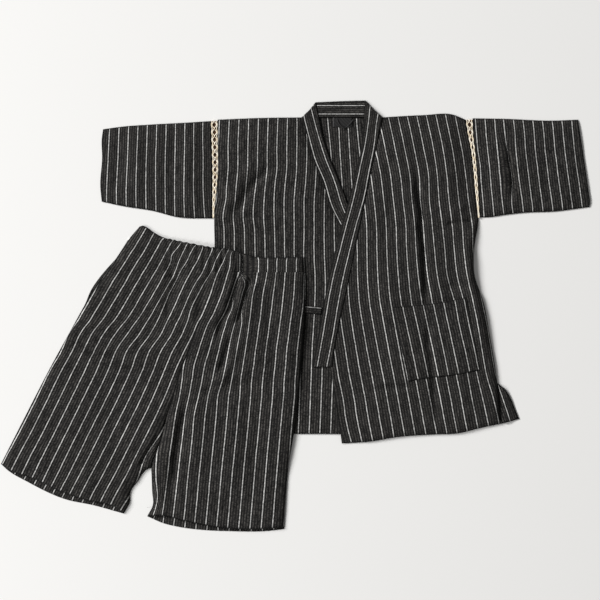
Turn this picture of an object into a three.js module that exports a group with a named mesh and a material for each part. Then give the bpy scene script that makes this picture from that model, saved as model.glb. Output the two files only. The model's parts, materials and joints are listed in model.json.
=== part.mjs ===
import * as THREE from 'three';

// A jinbei set laid flat and face up: a wrap jacket with spread sleeves, and shorts over its lower corner.
// Sizes are in millimetres. X runs across the set, Y runs from the hems to the neck, and Z is up from the
// surface. Right and left are the wearer's, so the right side has the lower X.

// Cloth and layers
const WALL = 1.2;
const COLLAR_WALL = 2;
const LABEL_WALL = 1;
const SEAM_GAP = 0.4;
const LAYER_GAP = 0.3;
const LAYER = WALL + LAYER_GAP;
const JACKET_STACK = 2 * LAYER;
const PUFF = 2.4;

// Widest mesh cell of a panel, and of the flat back
const GRID_STEP = 40;
const BACK_STEP = 120;

// Lace insertion, with its upper ends, its repeat and the openings in it
const LACE_RIGHT_TOP_Y = 429;
const LACE_LEFT_TOP_Y = 432;
const LACE_REPEAT = 15.2;
const LACE_WALL = 1.1;
const LACE_SCALLOP = 0.7;
const LACE_HOLE_SHARE = 0.42;
const LACE_HOLE_LENGTH = 8;
const LEAST_HOLE = 4;

// Gathered casing of the shorts
const GATHERS = 15;
const GATHER_RISE = 2;
const GATHER_RUFFLE = 1.3;
const GATHERS_FROM_X = -292;
const GATHERS_TO_X = -83;

// Cord of the hanger loop
const LOOP_RADIUS = 0.8;
const LOOP_FACETS = { steps: 16, curveSegments: 4 };

// The jacket's side edges, a row for each height
const SIDES = [
  { y: 432, right: -171, left: 374 },
  { y: 401, right: -170.5, left: 379 },
  { y: 366, right: -170, left: 386 },
  { y: 315, right: -170, left: 392 },
  { y: 278, right: -173, left: 395 },
  { y: 242, right: -177, left: 399 },
  { y: 215, right: -178.5, left: 402 },
  { y: 151, right: -178, left: 393.5 },
  { y: 97, right: -182, left: 393 },
  { y: 26, right: -196, left: 415 },
  { y: -33, right: -206, left: 426 },
  { y: -147, right: -222, left: 444 },
  { y: -240, right: -229, left: 452 },
];
const UNDERARM_Y = 217;

// The collar band on each front, a row for each height: its seam to the front, and its folded leading edge
const UNDER_COLLAR = [
  { y: 437, seam: 17, lead: 50 },
  { y: 392, seam: 30, lead: 62 },
  { y: 341, seam: 44, lead: 79 },
  { y: 302, seam: 61, lead: 95 },
  { y: 248, seam: 78, lead: 115 },
  { y: 198, seam: 101, lead: 133 },
  { y: 146, seam: 109, lead: 146 },
  { y: 64, seam: 119, lead: 162 },
  { y: -4, seam: 134, lead: 174 },
  { y: -111, seam: 152, lead: 193 },
];
const OVER_COLLAR = [
  { y: 437, lead: 151, seam: 189 },
  { y: 410, lead: 149, seam: 184 },
  { y: 370, lead: 145, seam: 176 },
  { y: 329, lead: 136, seam: 167 },
  { y: 286, lead: 125, seam: 158 },
  { y: 248, lead: 115, seam: 150 },
  { y: 198, lead: 100, seam: 140 },
  { y: 146, lead: 87, seam: 129 },
  { y: 64, lead: 69, seam: 112 },
  { y: -4, lead: 57, seam: 97 },
  { y: -73, lead: 44, seam: 84 },
  { y: -111, lead: 38, seam: 79 },
];

// Corners of the neck band, where the collar folds over from the back to each front
const NECK_FOOT_Y = 436.3;
const NECK_BAND = {
  top: [{ x: 44, y: 470.2 }, { x: 154, y: 474.1 }],
  bottom: [{ x: 17, y: NECK_FOOT_Y }, { x: 189, y: NECK_FOOT_Y }],
};
const UNDER_COLLAR_CORNER = { x: 46, y: 468 };
const OVER_COLLAR_CORNER = { x: 152.5, y: 472 };

// Free edges of the jacket
const SHOULDER_RIGHT = [{ x: -171, y: 432 }, { x: -69, y: 436 }, { x: 17, y: 437 }];
const SHOULDER_LEFT = [{ x: 189, y: 437 }, { x: 280, y: 442 }, { x: 347, y: 443 }, { x: 374, y: 432 }];
const UNDER_LEAD = [{ x: 152, y: -111 }, { x: 145, y: -180 }, { x: 133, y: -259 }];
const UNDER_BEND = { x: 152, y: -160 };
const OVER_LEAD = [{ x: 79, y: -111 }, { x: 84, y: -165 }, { x: 91, y: -206 }, { x: 102, y: -280 }];
const UNDER_HEM = [{ x: -229, y: -258 }, { x: 133, y: -259 }];
const OVER_HEM = [
  { x: 102, y: -280 }, { x: 171, y: -275 }, { x: 217, y: -267 }, { x: 309, y: -260 },
  { x: 356, y: -258 }, { x: 407, y: -247 }, { x: 452, y: -240 },
];
const BACK_HEM = [
  { x: -229, y: -255 }, { x: 133, y: -256 }, { x: 300, y: -251 }, { x: 450, y: -237 }, { x: 492, y: -226 },
];
const BACK_FLAP = [
  { x: 444, y: -147 }, { x: 458, y: -158 }, { x: 474, y: -182 }, { x: 483, y: -205 }, { x: 492, y: -226 },
];

// Sleeves
const RIGHT_SLEEVE = {
  top: [
    { x: -423, y: 411 }, { x: -379, y: 417 }, { x: -324, y: 421 }, { x: -233, y: 426 }, { x: -186, y: 429 },
  ],
  bottom: [
    { x: -426, y: 252 }, { x: -373, y: 241 }, { x: -315, y: 232 }, { x: -260, y: 218 }, { x: -182, y: 215 },
  ],
  cuff: [
    { x: -423, y: 411 }, { x: -426, y: 388 }, { x: -425, y: 351 }, { x: -429, y: 284 }, { x: -426, y: 252 },
  ],
  armhole: [{ x: -186, y: 429 }, { x: -182.5, y: 315 }, { x: -182.5, y: 242 }, { x: -182, y: 215 }],
};
const LEFT_SLEEVE = {
  top: [{ x: 390, y: 435 }, { x: 457, y: 434 }, { x: 566, y: 430 }, { x: 621, y: 432 }],
  bottom: [
    { x: 405, y: 217 }, { x: 430, y: 218 }, { x: 457, y: 222 }, { x: 512, y: 228 }, { x: 566, y: 230 },
    { x: 646, y: 240 },
  ],
  cuff: [
    { x: 621, y: 432 }, { x: 628, y: 388 }, { x: 634, y: 348 }, { x: 645, y: 270 }, { x: 647.6, y: 251 },
    { x: 646, y: 240 },
  ],
  armhole: [
    { x: 390, y: 435 }, { x: 391, y: 401 }, { x: 395, y: 366 }, { x: 398, y: 333 }, { x: 402, y: 278 },
    { x: 405, y: 217 },
  ],
};

// What is sewn on the jacket
const POCKET = {
  top: [{ x: 214, y: 20 }, { x: 303, y: 28 }, { x: 376, y: 41 }],
  bottom: [{ x: 247, y: -143 }, { x: 290, y: -136 }, { x: 336, y: -131 }, { x: 406, y: -118 }],
  left: [{ x: 214, y: 20 }, { x: 247, y: -143 }],
  right: [{ x: 376, y: 41 }, { x: 406, y: -118 }],
};
const POCKET_EASE = 0.25;
const TIE_WIDTH = 16.5;
const TIE_TOP = [{ x: -74, y: 33 }, { x: 59.5, y: 19.5 }];
const TIE_BOTTOM = [{ x: -74, y: 33 - TIE_WIDTH }, { x: 56.5, y: 19.5 - TIE_WIDTH }];
const LABEL = { x: 103.5, y: 425, width: 42, height: 19 };
const LOOP = [{ x: 91, y: 434 }, { x: 96, y: 423 }, { x: 107, y: 414 }, { x: 119, y: 422 }, { x: 128, y: 434 }];

// Shorts: the waist, the legs' edges and the centre seam that they share
const WAIST_TOP = [
  { x: -343, y: 197 }, { x: -338, y: 199 }, { x: -313, y: 185 }, { x: -292, y: 174 }, { x: -272, y: 169 },
  { x: -219, y: 158 }, { x: -180, y: 151 }, { x: -137, y: 146 }, { x: -111, y: 137 }, { x: -91, y: 132 },
  { x: 17, y: 130 },
];
const RIGHT_WAIST_SEAM = [
  { x: -368, y: 168 }, { x: -329, y: 147 }, { x: -292, y: 126 }, { x: -241, y: 116 }, { x: -183, y: 98 },
  { x: -153, y: 97 },
];
const LEFT_WAIST_SEAM = [{ x: -153, y: 97 }, { x: -83, y: 96 }, { x: 20, y: 97 }];
const CENTRE_SEAM = [
  { x: -153, y: 97 }, { x: -184, y: 36 }, { x: -217, y: -30 }, { x: -236, y: -81 }, { x: -254, y: -129 },
  { x: -273, y: -194 }, { x: -282, y: -218 }, { x: -291, y: -257 }, { x: -302, y: -290 }, { x: -317, y: -334 },
];
const RIGHT_INSEAM = [
  { x: -342, y: -371 }, { x: -357, y: -379 }, { x: -365, y: -393 }, { x: -364, y: -405 }, { x: -378, y: -434 },
];
const LEFT_INSEAM = [{ x: -316, y: -360 }, { x: -315, y: -387 }, { x: -313, y: -413 }, { x: -326, y: -440 }];
const RIGHT_OUTSEAM = [
  { x: -368, y: 168 }, { x: -393, y: 129 }, { x: -466, y: 20 }, { x: -493, y: -29 }, { x: -530, y: -96 },
  { x: -611, y: -253 }, { x: -647.6, y: -325 },
];
const POCKET_MOUTH_BULGE = [
  { x: -393, y: 129 }, { x: -417, y: 102 }, { x: -437, y: 77 }, { x: -451, y: 55 }, { x: -462, y: 28 },
];
const LEFT_OUTSEAM = [
  { x: 20, y: 97 }, { x: 21, y: 14 }, { x: 17, y: -63 }, { x: 8, y: -162 }, { x: -3, y: -255 },
  { x: -13, y: -316 }, { x: -25, y: -464 },
];
const RIGHT_HEM = [
  { x: -647.6, y: -325 }, { x: -607, y: -350 }, { x: -516, y: -386 }, { x: -473, y: -403 },
  { x: -421, y: -410 }, { x: -378, y: -434 },
];
const RIGHT_BACK_HEM = [
  { x: -647.6, y: -325 }, { x: -634, y: -338 }, { x: -589, y: -365 }, { x: -505, y: -404 },
  { x: -445, y: -417 }, { x: -378, y: -436 },
];
const LEFT_HEM = [
  { x: -326, y: -440 }, { x: -292, y: -438 }, { x: -245, y: -449 }, { x: -197, y: -459 }, { x: -149, y: -466 },
  { x: -102, y: -468 }, { x: -25, y: -464 },
];
const LEFT_BACK_HEM = [
  { x: -326, y: -444 }, { x: -290, y: -459 }, { x: -264, y: -465 }, { x: -192, y: -473 },
  { x: -149, y: -474.1 }, { x: -54, y: -472 }, { x: -25, y: -468 },
];

// Largest folds of the upper cloth: a valley or a ridge from one end to the other
const JACKET_FOLDS = [
  { x1: 267, y1: 331, x2: 289, y2: 4, halfWidth: 26, rise: -2 },
  { x1: 289, y1: 4, x2: 300, y2: -230, halfWidth: 30, rise: -1.6 },
  { x1: -137, y1: 216, x2: -60, y2: 322, halfWidth: 20, rise: -1.8 },
  { x1: 348, y1: 203, x2: 393, y2: 215, halfWidth: 20, rise: -2 },
  { x1: 107, y1: -166, x2: 267, y2: -156, halfWidth: 18, rise: -1.4 },
];
const SHORTS_FOLDS = [
  { x1: -123, y1: 90, x2: -170, y2: -49, halfWidth: 20, rise: -2.2 },
  { x1: -88, y1: 92, x2: -123, y2: 2, halfWidth: 16, rise: -1.8 },
  { x1: -482, y1: -20, x2: -245, y2: -84, halfWidth: 30, rise: -1.8 },
  { x1: -236, y1: -149, x2: -268, y2: -422, halfWidth: 34, rise: -1.8 },
  { x1: -200, y1: -164, x2: -143, y2: -151, halfWidth: 26, rise: -1.4 },
];

const { lerp, smoothstep, clamp } = THREE.MathUtils;

const column = (table, key) => table.map((row) => ({ x: row[key], y: row.y }));
const shifted = (edge, dx, dy = 0) => edge.map((p) => ({ x: p.x + dx, y: p.y + dy }));
const distance = (a, b) => Math.hypot(a.x - b.x, a.y - b.y);
const towards = (a, b, share) => ({ x: lerp(a.x, b.x, share), y: lerp(a.y, b.y, share) });

// X of an edge that runs down the garment, at height y
function xAt(edge, y) {
  const next = edge.findIndex((p) => p.y <= y);
  if (next === 0) return edge[0].x;
  if (next < 0) return edge[edge.length - 1].x;
  const [upper, lower] = [edge[next - 1], edge[next]];
  return lerp(upper.x, lower.x, (upper.y - y) / (upper.y - lower.y));
}

// Share of an edge's length at which each of its points lies
function stopsOf(edge) {
  const runs = [0];
  for (let i = 1; i < edge.length; i++) runs.push(runs[i - 1] + distance(edge[i], edge[i - 1]));
  return runs.map((run) => run / runs[runs.length - 1]);
}

function pointAlong(edge, stops, share) {
  const next = Math.max(1, stops.findIndex((stop) => stop >= share - 1e-9));
  return towards(edge[next - 1], edge[next], (share - stops[next - 1]) / (stops[next] - stops[next - 1]));
}

const lengthOf = (edge) => edge.slice(1).reduce((sum, p, i) => sum + distance(p, edge[i]), 0);

// Stations across a panel: one at each point of its two facing edges, and more where they lie far apart
function stations(edgeA, edgeB, step) {
  const marks = [...stopsOf(edgeA), ...stopsOf(edgeB)].sort((a, b) => a - b);
  const kept = marks.filter((mark, i) => i === 0 || mark - marks[i - 1] > 1e-6);
  const length = Math.max(lengthOf(edgeA), lengthOf(edgeB));
  return kept.flatMap((mark, i) => {
    if (i === 0) return [mark];
    const before = kept[i - 1];
    const parts = Math.max(1, Math.round(((mark - before) * length) / step));
    return Array.from({ length: parts }, (_, k) => lerp(before, mark, (k + 1) / parts));
  });
}

// A panel spanned between four edges: top and bottom run from low to high X, left and right run down
function panel({ top, bottom, left, right, step = GRID_STEP }) {
  const stops = { top: stopsOf(top), bottom: stopsOf(bottom), left: stopsOf(left), right: stopsOf(right) };
  const corners = [top[0], top[top.length - 1], bottom[0], bottom[bottom.length - 1]];
  const at = (u, v) => {
    const [t, b] = [pointAlong(top, stops.top, u), pointAlong(bottom, stops.bottom, u)];
    const [l, r] = [pointAlong(left, stops.left, v), pointAlong(right, stops.right, v)];
    const mixed = towards(towards(corners[0], corners[1], u), towards(corners[2], corners[3], u), v);
    const between = (key) => lerp(t[key], b[key], v) + lerp(l[key], r[key], u) - mixed[key];
    return { x: between('x'), y: between('y') };
  };
  return { at, across: stations(top, bottom, step), down: stations(left, right, step) };
}

// Straight sides for a panel that has only a top and a bottom edge
const withSides = ({ top, bottom }) => ({
  top,
  bottom,
  left: [top[0], bottom[0]],
  right: [top[top.length - 1], bottom[bottom.length - 1]],
});

// A closed mesh from points and quads, turned to face outwards
function closedMesh(points, quads) {
  const index = quads.flatMap(([a, b, c, d]) => [a, b, c, a, c, d]);
  let volume = 0;
  for (let i = 0; i < index.length; i += 3) {
    const [a, b, c] = [points[index[i]], points[index[i + 1]], points[index[i + 2]]];
    volume += a.dot(b.clone().cross(c));
  }
  if (volume < 0) index.reverse();
  const geometry = new THREE.BufferGeometry().setFromPoints(points);
  geometry.setIndex(index);
  geometry.computeVertexNormals();
  return geometry;
}

// A panel as one wall of cloth on the surface given by underside(x, y, u, v)
function clothWall(spread, underside, wall = WALL) {
  const { across, down } = spread;
  const points = [];
  for (const top of [1, 0]) {
    for (const v of down) {
      for (const u of across) {
        const { x, y } = spread.at(u, v);
        points.push(new THREE.Vector3(x, y, underside(x, y, u, v) + top * wall));
      }
    }
  }
  const columns = across.length;
  const layer = columns * down.length;
  const quads = [];
  for (let j = 0; j + 1 < down.length; j++) {
    for (let i = 0; i + 1 < columns; i++) {
      const k = j * columns + i;
      quads.push([k, k + columns, k + columns + 1, k + 1]);
      quads.push([layer + k, layer + k + 1, layer + k + columns + 1, layer + k + columns]);
    }
  }
  const rim = [];
  for (let j = 0; j < down.length; j++) rim.push(j * columns);
  for (let i = 1; i < columns; i++) rim.push((down.length - 1) * columns + i);
  for (let j = down.length - 2; j >= 0; j--) rim.push(j * columns + columns - 1);
  for (let i = columns - 2; i > 0; i--) rim.push(i);
  rim.forEach((a, i) => {
    const b = rim[(i + 1) % rim.length];
    quads.push([a, layer + a, layer + b, b]);
  });
  return closedMesh(points, quads);
}

// A tube of cloth lying flat, open at both ends. along and around are its stations, and spread(a, c) is a
// point of it seen from above. The lower wall is on floor(x, y) and lift(x, y, a, c) raises the upper one.
function flatTube({ along, around, spread, floor, lift }) {
  const last = around.length - 1;
  const loops = along.map((a) => {
    const row = around.map((c) => spread(a, c));
    const inset = (end, next) => towards(row[end], row[next], WALL / distance(row[end], row[next]));
    const inner = row.map((p, i) => (i === 0 ? inset(0, 1) : i === last ? inset(last, last - 1) : p));
    const low = (p) => floor(p.x, p.y);
    const high = (p, i) => floor(p.x, p.y) + WALL + LAYER + lift(p.x, p.y, a, around[i]);
    const upper = (p, i) => new THREE.Vector3(p.x, p.y, high(p, i));
    const lower = (p) => new THREE.Vector3(p.x, p.y, low(p));
    const innerUpper = (p, i) => new THREE.Vector3(p.x, p.y, high(row[i], i) - WALL);
    const innerLower = (p, i) => new THREE.Vector3(p.x, p.y, low(row[i]) + WALL);
    return {
      outer: [...row.map(upper), ...row.map(lower).reverse()],
      inner: [...inner.map(innerUpper), ...inner.map(innerLower).reverse()],
    };
  });
  const size = 2 * around.length;
  const points = loops.flatMap((loop) => [...loop.outer, ...loop.inner]);
  const quads = [];
  for (let s = 0; s < along.length; s++) {
    const start = 2 * size * s;
    for (let i = 0; i < size; i++) {
      const j = (i + 1) % size;
      const [outerA, outerB, innerA, innerB] = [start + i, start + j, start + size + i, start + size + j];
      if (s + 1 < along.length) {
        quads.push([outerA, outerB, outerB + 2 * size, outerA + 2 * size]);
        quads.push([innerB, innerA, innerA + 2 * size, innerB + 2 * size]);
      }
      if (s === 0) quads.push([outerB, outerA, innerA, innerB]);
      if (s + 1 === along.length) quads.push([outerA, outerB, innerB, innerA]);
    }
  }
  return closedMesh(points, quads);
}

// How far a point lies inside a panel's edges, from 0 on them to 1 well inside
const EDGE_MARGIN = 0.18;

function inside(u, v, margin = EDGE_MARGIN) {
  const side = (t) => smoothstep(Math.min(t, 1 - t), 0, margin);
  return side(u) * side(v);
}

// Sum of the folds at a point, each rounded across and fading at its ends
function foldsAt(folds, x, y) {
  return folds.reduce((sum, fold) => {
    const run = { x: fold.x2 - fold.x1, y: fold.y2 - fold.y1 };
    const length = Math.hypot(run.x, run.y);
    const share = ((x - fold.x1) * run.x + (y - fold.y1) * run.y) / length ** 2;
    const near = towards({ x: fold.x1, y: fold.y1 }, { x: fold.x2, y: fold.y2 }, clamp(share, 0, 1));
    return sum + fold.rise * (1 - smoothstep(distance(near, { x, y }), 0, fold.halfWidth));
  }, 0);
}

// Extra height of the upper cloth over its floor
function liftAt(folds, x, y, amount) {
  return Math.max(0, PUFF * amount + foldsAt(folds, x, y));
}

const flat = () => 0;

const RIGHT_SIDE = column(SIDES, 'right');
const LEFT_SIDE = column(SIDES, 'left');
const UNDER_SEAM = column(UNDER_COLLAR, 'seam');
const UNDER_EDGE = column(UNDER_COLLAR, 'lead');
const OVER_SEAM = column(OVER_COLLAR, 'seam');
const OVER_EDGE = column(OVER_COLLAR, 'lead');

// The collar band is highest where it lies over the neck band
const NECK_RAMP_Y = { from: 380, to: 425 };
const neckRise = (y) => (COLLAR_WALL - WALL) * smoothstep(y, NECK_RAMP_Y.from, NECK_RAMP_Y.to);

// Floor of the over front: on the back, and raised where the under front and its collar pass below it
const RAMP_FROM = 12;
const RAMP_TO = 62;
const UNDER_REACH = [...UNDER_EDGE, UNDER_BEND, UNDER_LEAD[2]];

function overFloor(x, y) {
  const past = x - xAt(UNDER_REACH, y);
  return LAYER + (COLLAR_WALL + LAYER_GAP) * (1 - smoothstep(past, RAMP_FROM, RAMP_TO));
}

// Floor of the under front: it puffs up only above the shorts and beside the collar, where nothing lies on it
const OPEN_ABOVE_Y = { from: 165, to: 230 };
const OPEN_BEFORE_X = { from: 10, to: 70 };

function underFrontFloor(x, y, u, v) {
  const aboveShorts = smoothstep(y, OPEN_ABOVE_Y.from, OPEN_ABOVE_Y.to);
  const besideCollar = 1 - smoothstep(x, OPEN_BEFORE_X.from, OPEN_BEFORE_X.to);
  const upperHalf = inside(u, Math.min(v * 2, 0.5));
  return LAYER + aboveShorts * besideCollar * liftAt(JACKET_FOLDS, x, y, upperHalf);
}

function overFrontFloor(x, y, u, v) {
  const free = smoothstep(x - xAt(UNDER_REACH, y), RAMP_TO, 2 * RAMP_TO);
  return overFloor(x, y) + free * liftAt(JACKET_FOLDS, x, y, inside(u, v));
}

const underCollarFloor = (x, y) => LAYER + neckRise(y);
const overCollarFloor = (x, y) => overFloor(x, y) + neckRise(y);

// Floor of the shorts: the jacket below them, the tie on it, and the bare surface outside it
const DROP_FROM = 25;
const DROP_TO = 105;
const TIE_MIDDLE_Y = (TIE_TOP[0].y + TIE_BOTTOM[1].y) / 2;
const TIE_HALF_SPAN = (TIE_TOP[0].y - TIE_BOTTOM[1].y) / 2;

function shortsFloor(x, y) {
  const past = Math.min(x - xAt(RIGHT_SIDE, y), y - UNDER_HEM[0].y);
  const onJacket = smoothstep(past, -DROP_TO, -DROP_FROM);
  const fromTie = Math.max(Math.abs(y - TIE_MIDDLE_Y) - TIE_HALF_SPAN, TIE_TOP[0].x - x);
  const onTie = 1 - smoothstep(fromTie, DROP_FROM, DROP_TO);
  return onJacket * (JACKET_STACK + onTie * LAYER);
}

const onShortsBack = (x, y, u, v) => shortsFloor(x, y) + LAYER + liftAt(SHORTS_FOLDS, x, y, inside(u, v));

const DARK = { color: 0x343231, roughness: 0.92, metalness: 0 };
const CREAM = { color: 0xe8d9bb, roughness: 0.8, metalness: 0 };
const BLACK = { color: 0x1b1a1a, roughness: 0.7, metalness: 0 };

function piece(name, geometry, finish = DARK) {
  const mesh = new THREE.Mesh(geometry, new THREE.MeshStandardMaterial(finish));
  mesh.name = name;
  return mesh;
}

function jacketBack() {
  const neck = shifted(NECK_BAND.bottom, 0, -SEAM_GAP);
  const top = [...SHOULDER_RIGHT.slice(0, 2), ...neck, ...SHOULDER_LEFT.slice(1)];
  const left = [...RIGHT_SIDE.slice(0, -1), BACK_HEM[0]];
  const right = [...LEFT_SIDE.slice(0, -2), ...BACK_FLAP];
  const spread = panel({ top, bottom: BACK_HEM, left, right, step: BACK_STEP });
  return piece('jacket_back', clothWall(spread, flat));
}

function underFront() {
  const seam = shifted([...UNDER_SEAM, ...UNDER_LEAD.slice(1)], -SEAM_GAP);
  const top = [...SHOULDER_RIGHT.slice(0, 2), seam[0]];
  const bottom = [UNDER_HEM[0], seam[seam.length - 1]];
  const left = [...RIGHT_SIDE.slice(0, -1), UNDER_HEM[0]];
  return piece('jacket_front_under', clothWall(panel({ top, bottom, left, right: seam }), underFrontFloor));
}

function overFront() {
  const seam = shifted([...OVER_SEAM, ...OVER_LEAD.slice(1)], SEAM_GAP);
  const top = [seam[0], ...SHOULDER_LEFT.slice(1)];
  const bottom = [seam[seam.length - 1], ...OVER_HEM.slice(1)];
  const spread = panel({ top, bottom, left: seam, right: LEFT_SIDE });
  return piece('jacket_front_over', clothWall(spread, overFrontFloor));
}

// The doubled band on one front, from its fold at the neck to its square lower end
function collarBand(name, seam, lead, corner, mirrored, floor) {
  const leadEdge = [corner, ...lead.slice(1)];
  const [left, right] = mirrored ? [leadEdge, seam] : [seam, leadEdge];
  const ends = { top: [left[0], right[0]], bottom: [left[left.length - 1], right[right.length - 1]] };
  return piece(name, clothWall(panel({ ...ends, left, right }), floor, COLLAR_WALL));
}

function neckBand() {
  return piece('collar_neck', clothWall(panel(withSides(NECK_BAND)), flat, COLLAR_WALL));
}

function sleeve(name, edges, cuffFirst) {
  const [left, right] = cuffFirst ? [edges.cuff, edges.armhole] : [edges.armhole, edges.cuff];
  const spread = panel({ top: edges.top, bottom: edges.bottom, left, right });
  const lift = (x, y, a, c) => PUFF * inside(a, c);
  const tube = { along: spread.across, around: spread.down, spread: spread.at, floor: flat, lift };
  return piece(name, flatTube(tube));
}

// A strip of openwork between two edges: scalloped sides, and a lozenge opening in each repeat wide enough
function laceStrip(name, leftEdge, rightEdge, topY, z) {
  const repeats = Math.round((topY - UNDERARM_Y) / LACE_REPEAT);
  const repeat = (topY - UNDERARM_Y) / repeats;
  const rightPoints = [];
  const leftPoints = [];
  for (let i = 0; i <= 2 * repeats; i++) {
    const y = topY - (i * repeat) / 2;
    const scallop = i % 2 ? 0 : LACE_SCALLOP;
    rightPoints.push(new THREE.Vector2(xAt(rightEdge, y) - SEAM_GAP - scallop, y));
    leftPoints.push(new THREE.Vector2(xAt(leftEdge, y) + SEAM_GAP + scallop, y));
  }
  const shape = new THREE.Shape([...leftPoints, ...rightPoints.reverse()]);
  for (let i = 0; i < repeats; i++) {
    const y = topY - (i + 0.5) * repeat;
    const [low, high] = [xAt(leftEdge, y), xAt(rightEdge, y)];
    const half = (LACE_HOLE_SHARE * (high - low)) / 2;
    const middle = (low + high) / 2;
    if (2 * half < LEAST_HOLE) continue;
    const lozenge = [[0, LACE_HOLE_LENGTH / 2], [half, 0], [0, -LACE_HOLE_LENGTH / 2], [-half, 0]];
    shape.holes.push(new THREE.Path(lozenge.map(([dx, dy]) => new THREE.Vector2(middle + dx, y + dy))));
  }
  const mesh = piece(name, new THREE.ExtrudeGeometry(shape, { depth: LACE_WALL, bevelEnabled: false }), CREAM);
  mesh.position.z = z;
  return mesh;
}

function laces() {
  const layers = [{ word: 'back', z: 0 }, { word: 'front', z: LAYER }];
  return layers.flatMap(({ word, z }) => [
    laceStrip(`lace_right_${word}`, RIGHT_SLEEVE.armhole, RIGHT_SIDE, LACE_RIGHT_TOP_Y, z),
    laceStrip(`lace_left_${word}`, LEFT_SIDE, LEFT_SLEEVE.armhole, LACE_LEFT_TOP_Y, z),
  ]);
}

function patchPocket() {
  const onFront = (x, y) => {
    const puffed = smoothstep(x - xAt(UNDER_REACH, y), RAMP_FROM, 2 * RAMP_TO - RAMP_FROM);
    return overFloor(x, y) + LAYER + POCKET_EASE + puffed * PUFF;
  };
  return piece('patch_pocket', clothWall(panel(POCKET), onFront));
}

function tie() {
  return piece('tie', clothWall(panel(withSides({ top: TIE_TOP, bottom: TIE_BOTTOM })), () => JACKET_STACK));
}

function neckLabel() {
  const label = new THREE.BoxGeometry(LABEL.width, LABEL.height, LABEL_WALL);
  const mesh = piece('neck_label', label, BLACK);
  mesh.position.set(LABEL.x, LABEL.y, LAYER + LABEL_WALL / 2);
  return mesh;
}

function hangerLoop() {
  const height = LAYER + LABEL_WALL + LAYER_GAP + LOOP_RADIUS;
  const path = new THREE.CatmullRomCurve3(LOOP.map((p) => new THREE.Vector3(p.x, p.y, height)));
  const section = new THREE.Shape().absarc(0, 0, LOOP_RADIUS, 0, 2 * Math.PI);
  const cord = new THREE.ExtrudeGeometry(section, { ...LOOP_FACETS, extrudePath: path });
  return piece('hanger_loop', cord, BLACK);
}

// The elastic casing, a flat ring open at the waist, with gathers across the middle of its upper wall
function waistband() {
  const seam = shifted([...RIGHT_WAIST_SEAM, ...LEFT_WAIST_SEAM.slice(1)], 0, SEAM_GAP);
  const pitch = (GATHERS_TO_X - GATHERS_FROM_X) / GATHERS;
  const spread = panel({ ...withSides({ top: WAIST_TOP, bottom: seam }), step: pitch / 3 });
  const gathered = (x) => {
    const begun = smoothstep(x, GATHERS_FROM_X - pitch, GATHERS_FROM_X);
    return begun * (1 - smoothstep(x, GATHERS_TO_X, GATHERS_TO_X + pitch));
  };
  const wave = (x) => Math.cos((2 * Math.PI * (x - GATHERS_FROM_X)) / pitch) * gathered(x);
  const ruffled = (a, c) => {
    const p = spread.at(c, a);
    return { x: p.x, y: p.y + GATHER_RUFFLE * wave(p.x) * (1 - a) };
  };
  const lift = (x, y, a, c) => (inside(0.5, c) * (PUFF + GATHER_RISE * wave(x))) / 2;
  const along = [0, 0.5, 1];
  const tube = { along, around: spread.across, spread: ruffled, floor: shortsFloor, lift };
  return piece('waistband', flatTube(tube));
}

// One wall of a leg: its left and right edges run down from the waist seam
function legWall(name, edges, underside) {
  return piece(name, clothWall(panel(edges), underside));
}

function shorts() {
  const rightInner = shifted([...CENTRE_SEAM, ...RIGHT_INSEAM], -SEAM_GAP);
  const leftInner = shifted([...CENTRE_SEAM, ...LEFT_INSEAM], SEAM_GAP);
  const withEnds = (edge, first, last) => [first, ...edge.slice(1, -1), last];
  const rightTop = withEnds(RIGHT_WAIST_SEAM, RIGHT_OUTSEAM[0], rightInner[0]);
  const leftTop = withEnds(LEFT_WAIST_SEAM, leftInner[0], LEFT_OUTSEAM[0]);
  const rightLast = rightInner[rightInner.length - 1];
  const leftLast = leftInner[leftInner.length - 1];
  const rightBackOut = [RIGHT_OUTSEAM[0], ...POCKET_MOUTH_BULGE, ...RIGHT_OUTSEAM.slice(3)];
  return [
    legWall('shorts_right_front', {
      top: rightTop,
      bottom: withEnds(RIGHT_HEM, RIGHT_HEM[0], rightLast),
      left: RIGHT_OUTSEAM,
      right: rightInner,
    }, onShortsBack),
    legWall('shorts_left_front', {
      top: leftTop,
      bottom: withEnds(LEFT_HEM, leftLast, LEFT_HEM[LEFT_HEM.length - 1]),
      left: leftInner,
      right: LEFT_OUTSEAM,
    }, onShortsBack),
    legWall('shorts_right_back', {
      top: rightTop,
      bottom: withEnds(RIGHT_BACK_HEM, RIGHT_BACK_HEM[0], rightLast),
      left: rightBackOut,
      right: rightInner,
    }, shortsFloor),
    legWall('shorts_left_back', {
      top: leftTop,
      bottom: withEnds(LEFT_BACK_HEM, leftLast, LEFT_BACK_HEM[LEFT_BACK_HEM.length - 1]),
      left: leftInner,
      right: withEnds(LEFT_OUTSEAM, LEFT_OUTSEAM[0], LEFT_BACK_HEM[LEFT_BACK_HEM.length - 1]),
    }, shortsFloor),
  ];
}

const jinbei = new THREE.Group();
jinbei.add(
  jacketBack(),
  underFront(),
  overFront(),
  neckBand(),
  collarBand('collar_under', UNDER_SEAM, UNDER_EDGE, UNDER_COLLAR_CORNER, false, underCollarFloor),
  collarBand('collar_over', OVER_SEAM, OVER_EDGE, OVER_COLLAR_CORNER, true, overCollarFloor),
  sleeve('sleeve_right', RIGHT_SLEEVE, true),
  sleeve('sleeve_left', LEFT_SLEEVE, false),
  ...laces(),
  patchPocket(),
  tie(),
  neckLabel(),
  hangerLoop(),
  waistband(),
  ...shorts(),
);

export default jinbei;
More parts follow.
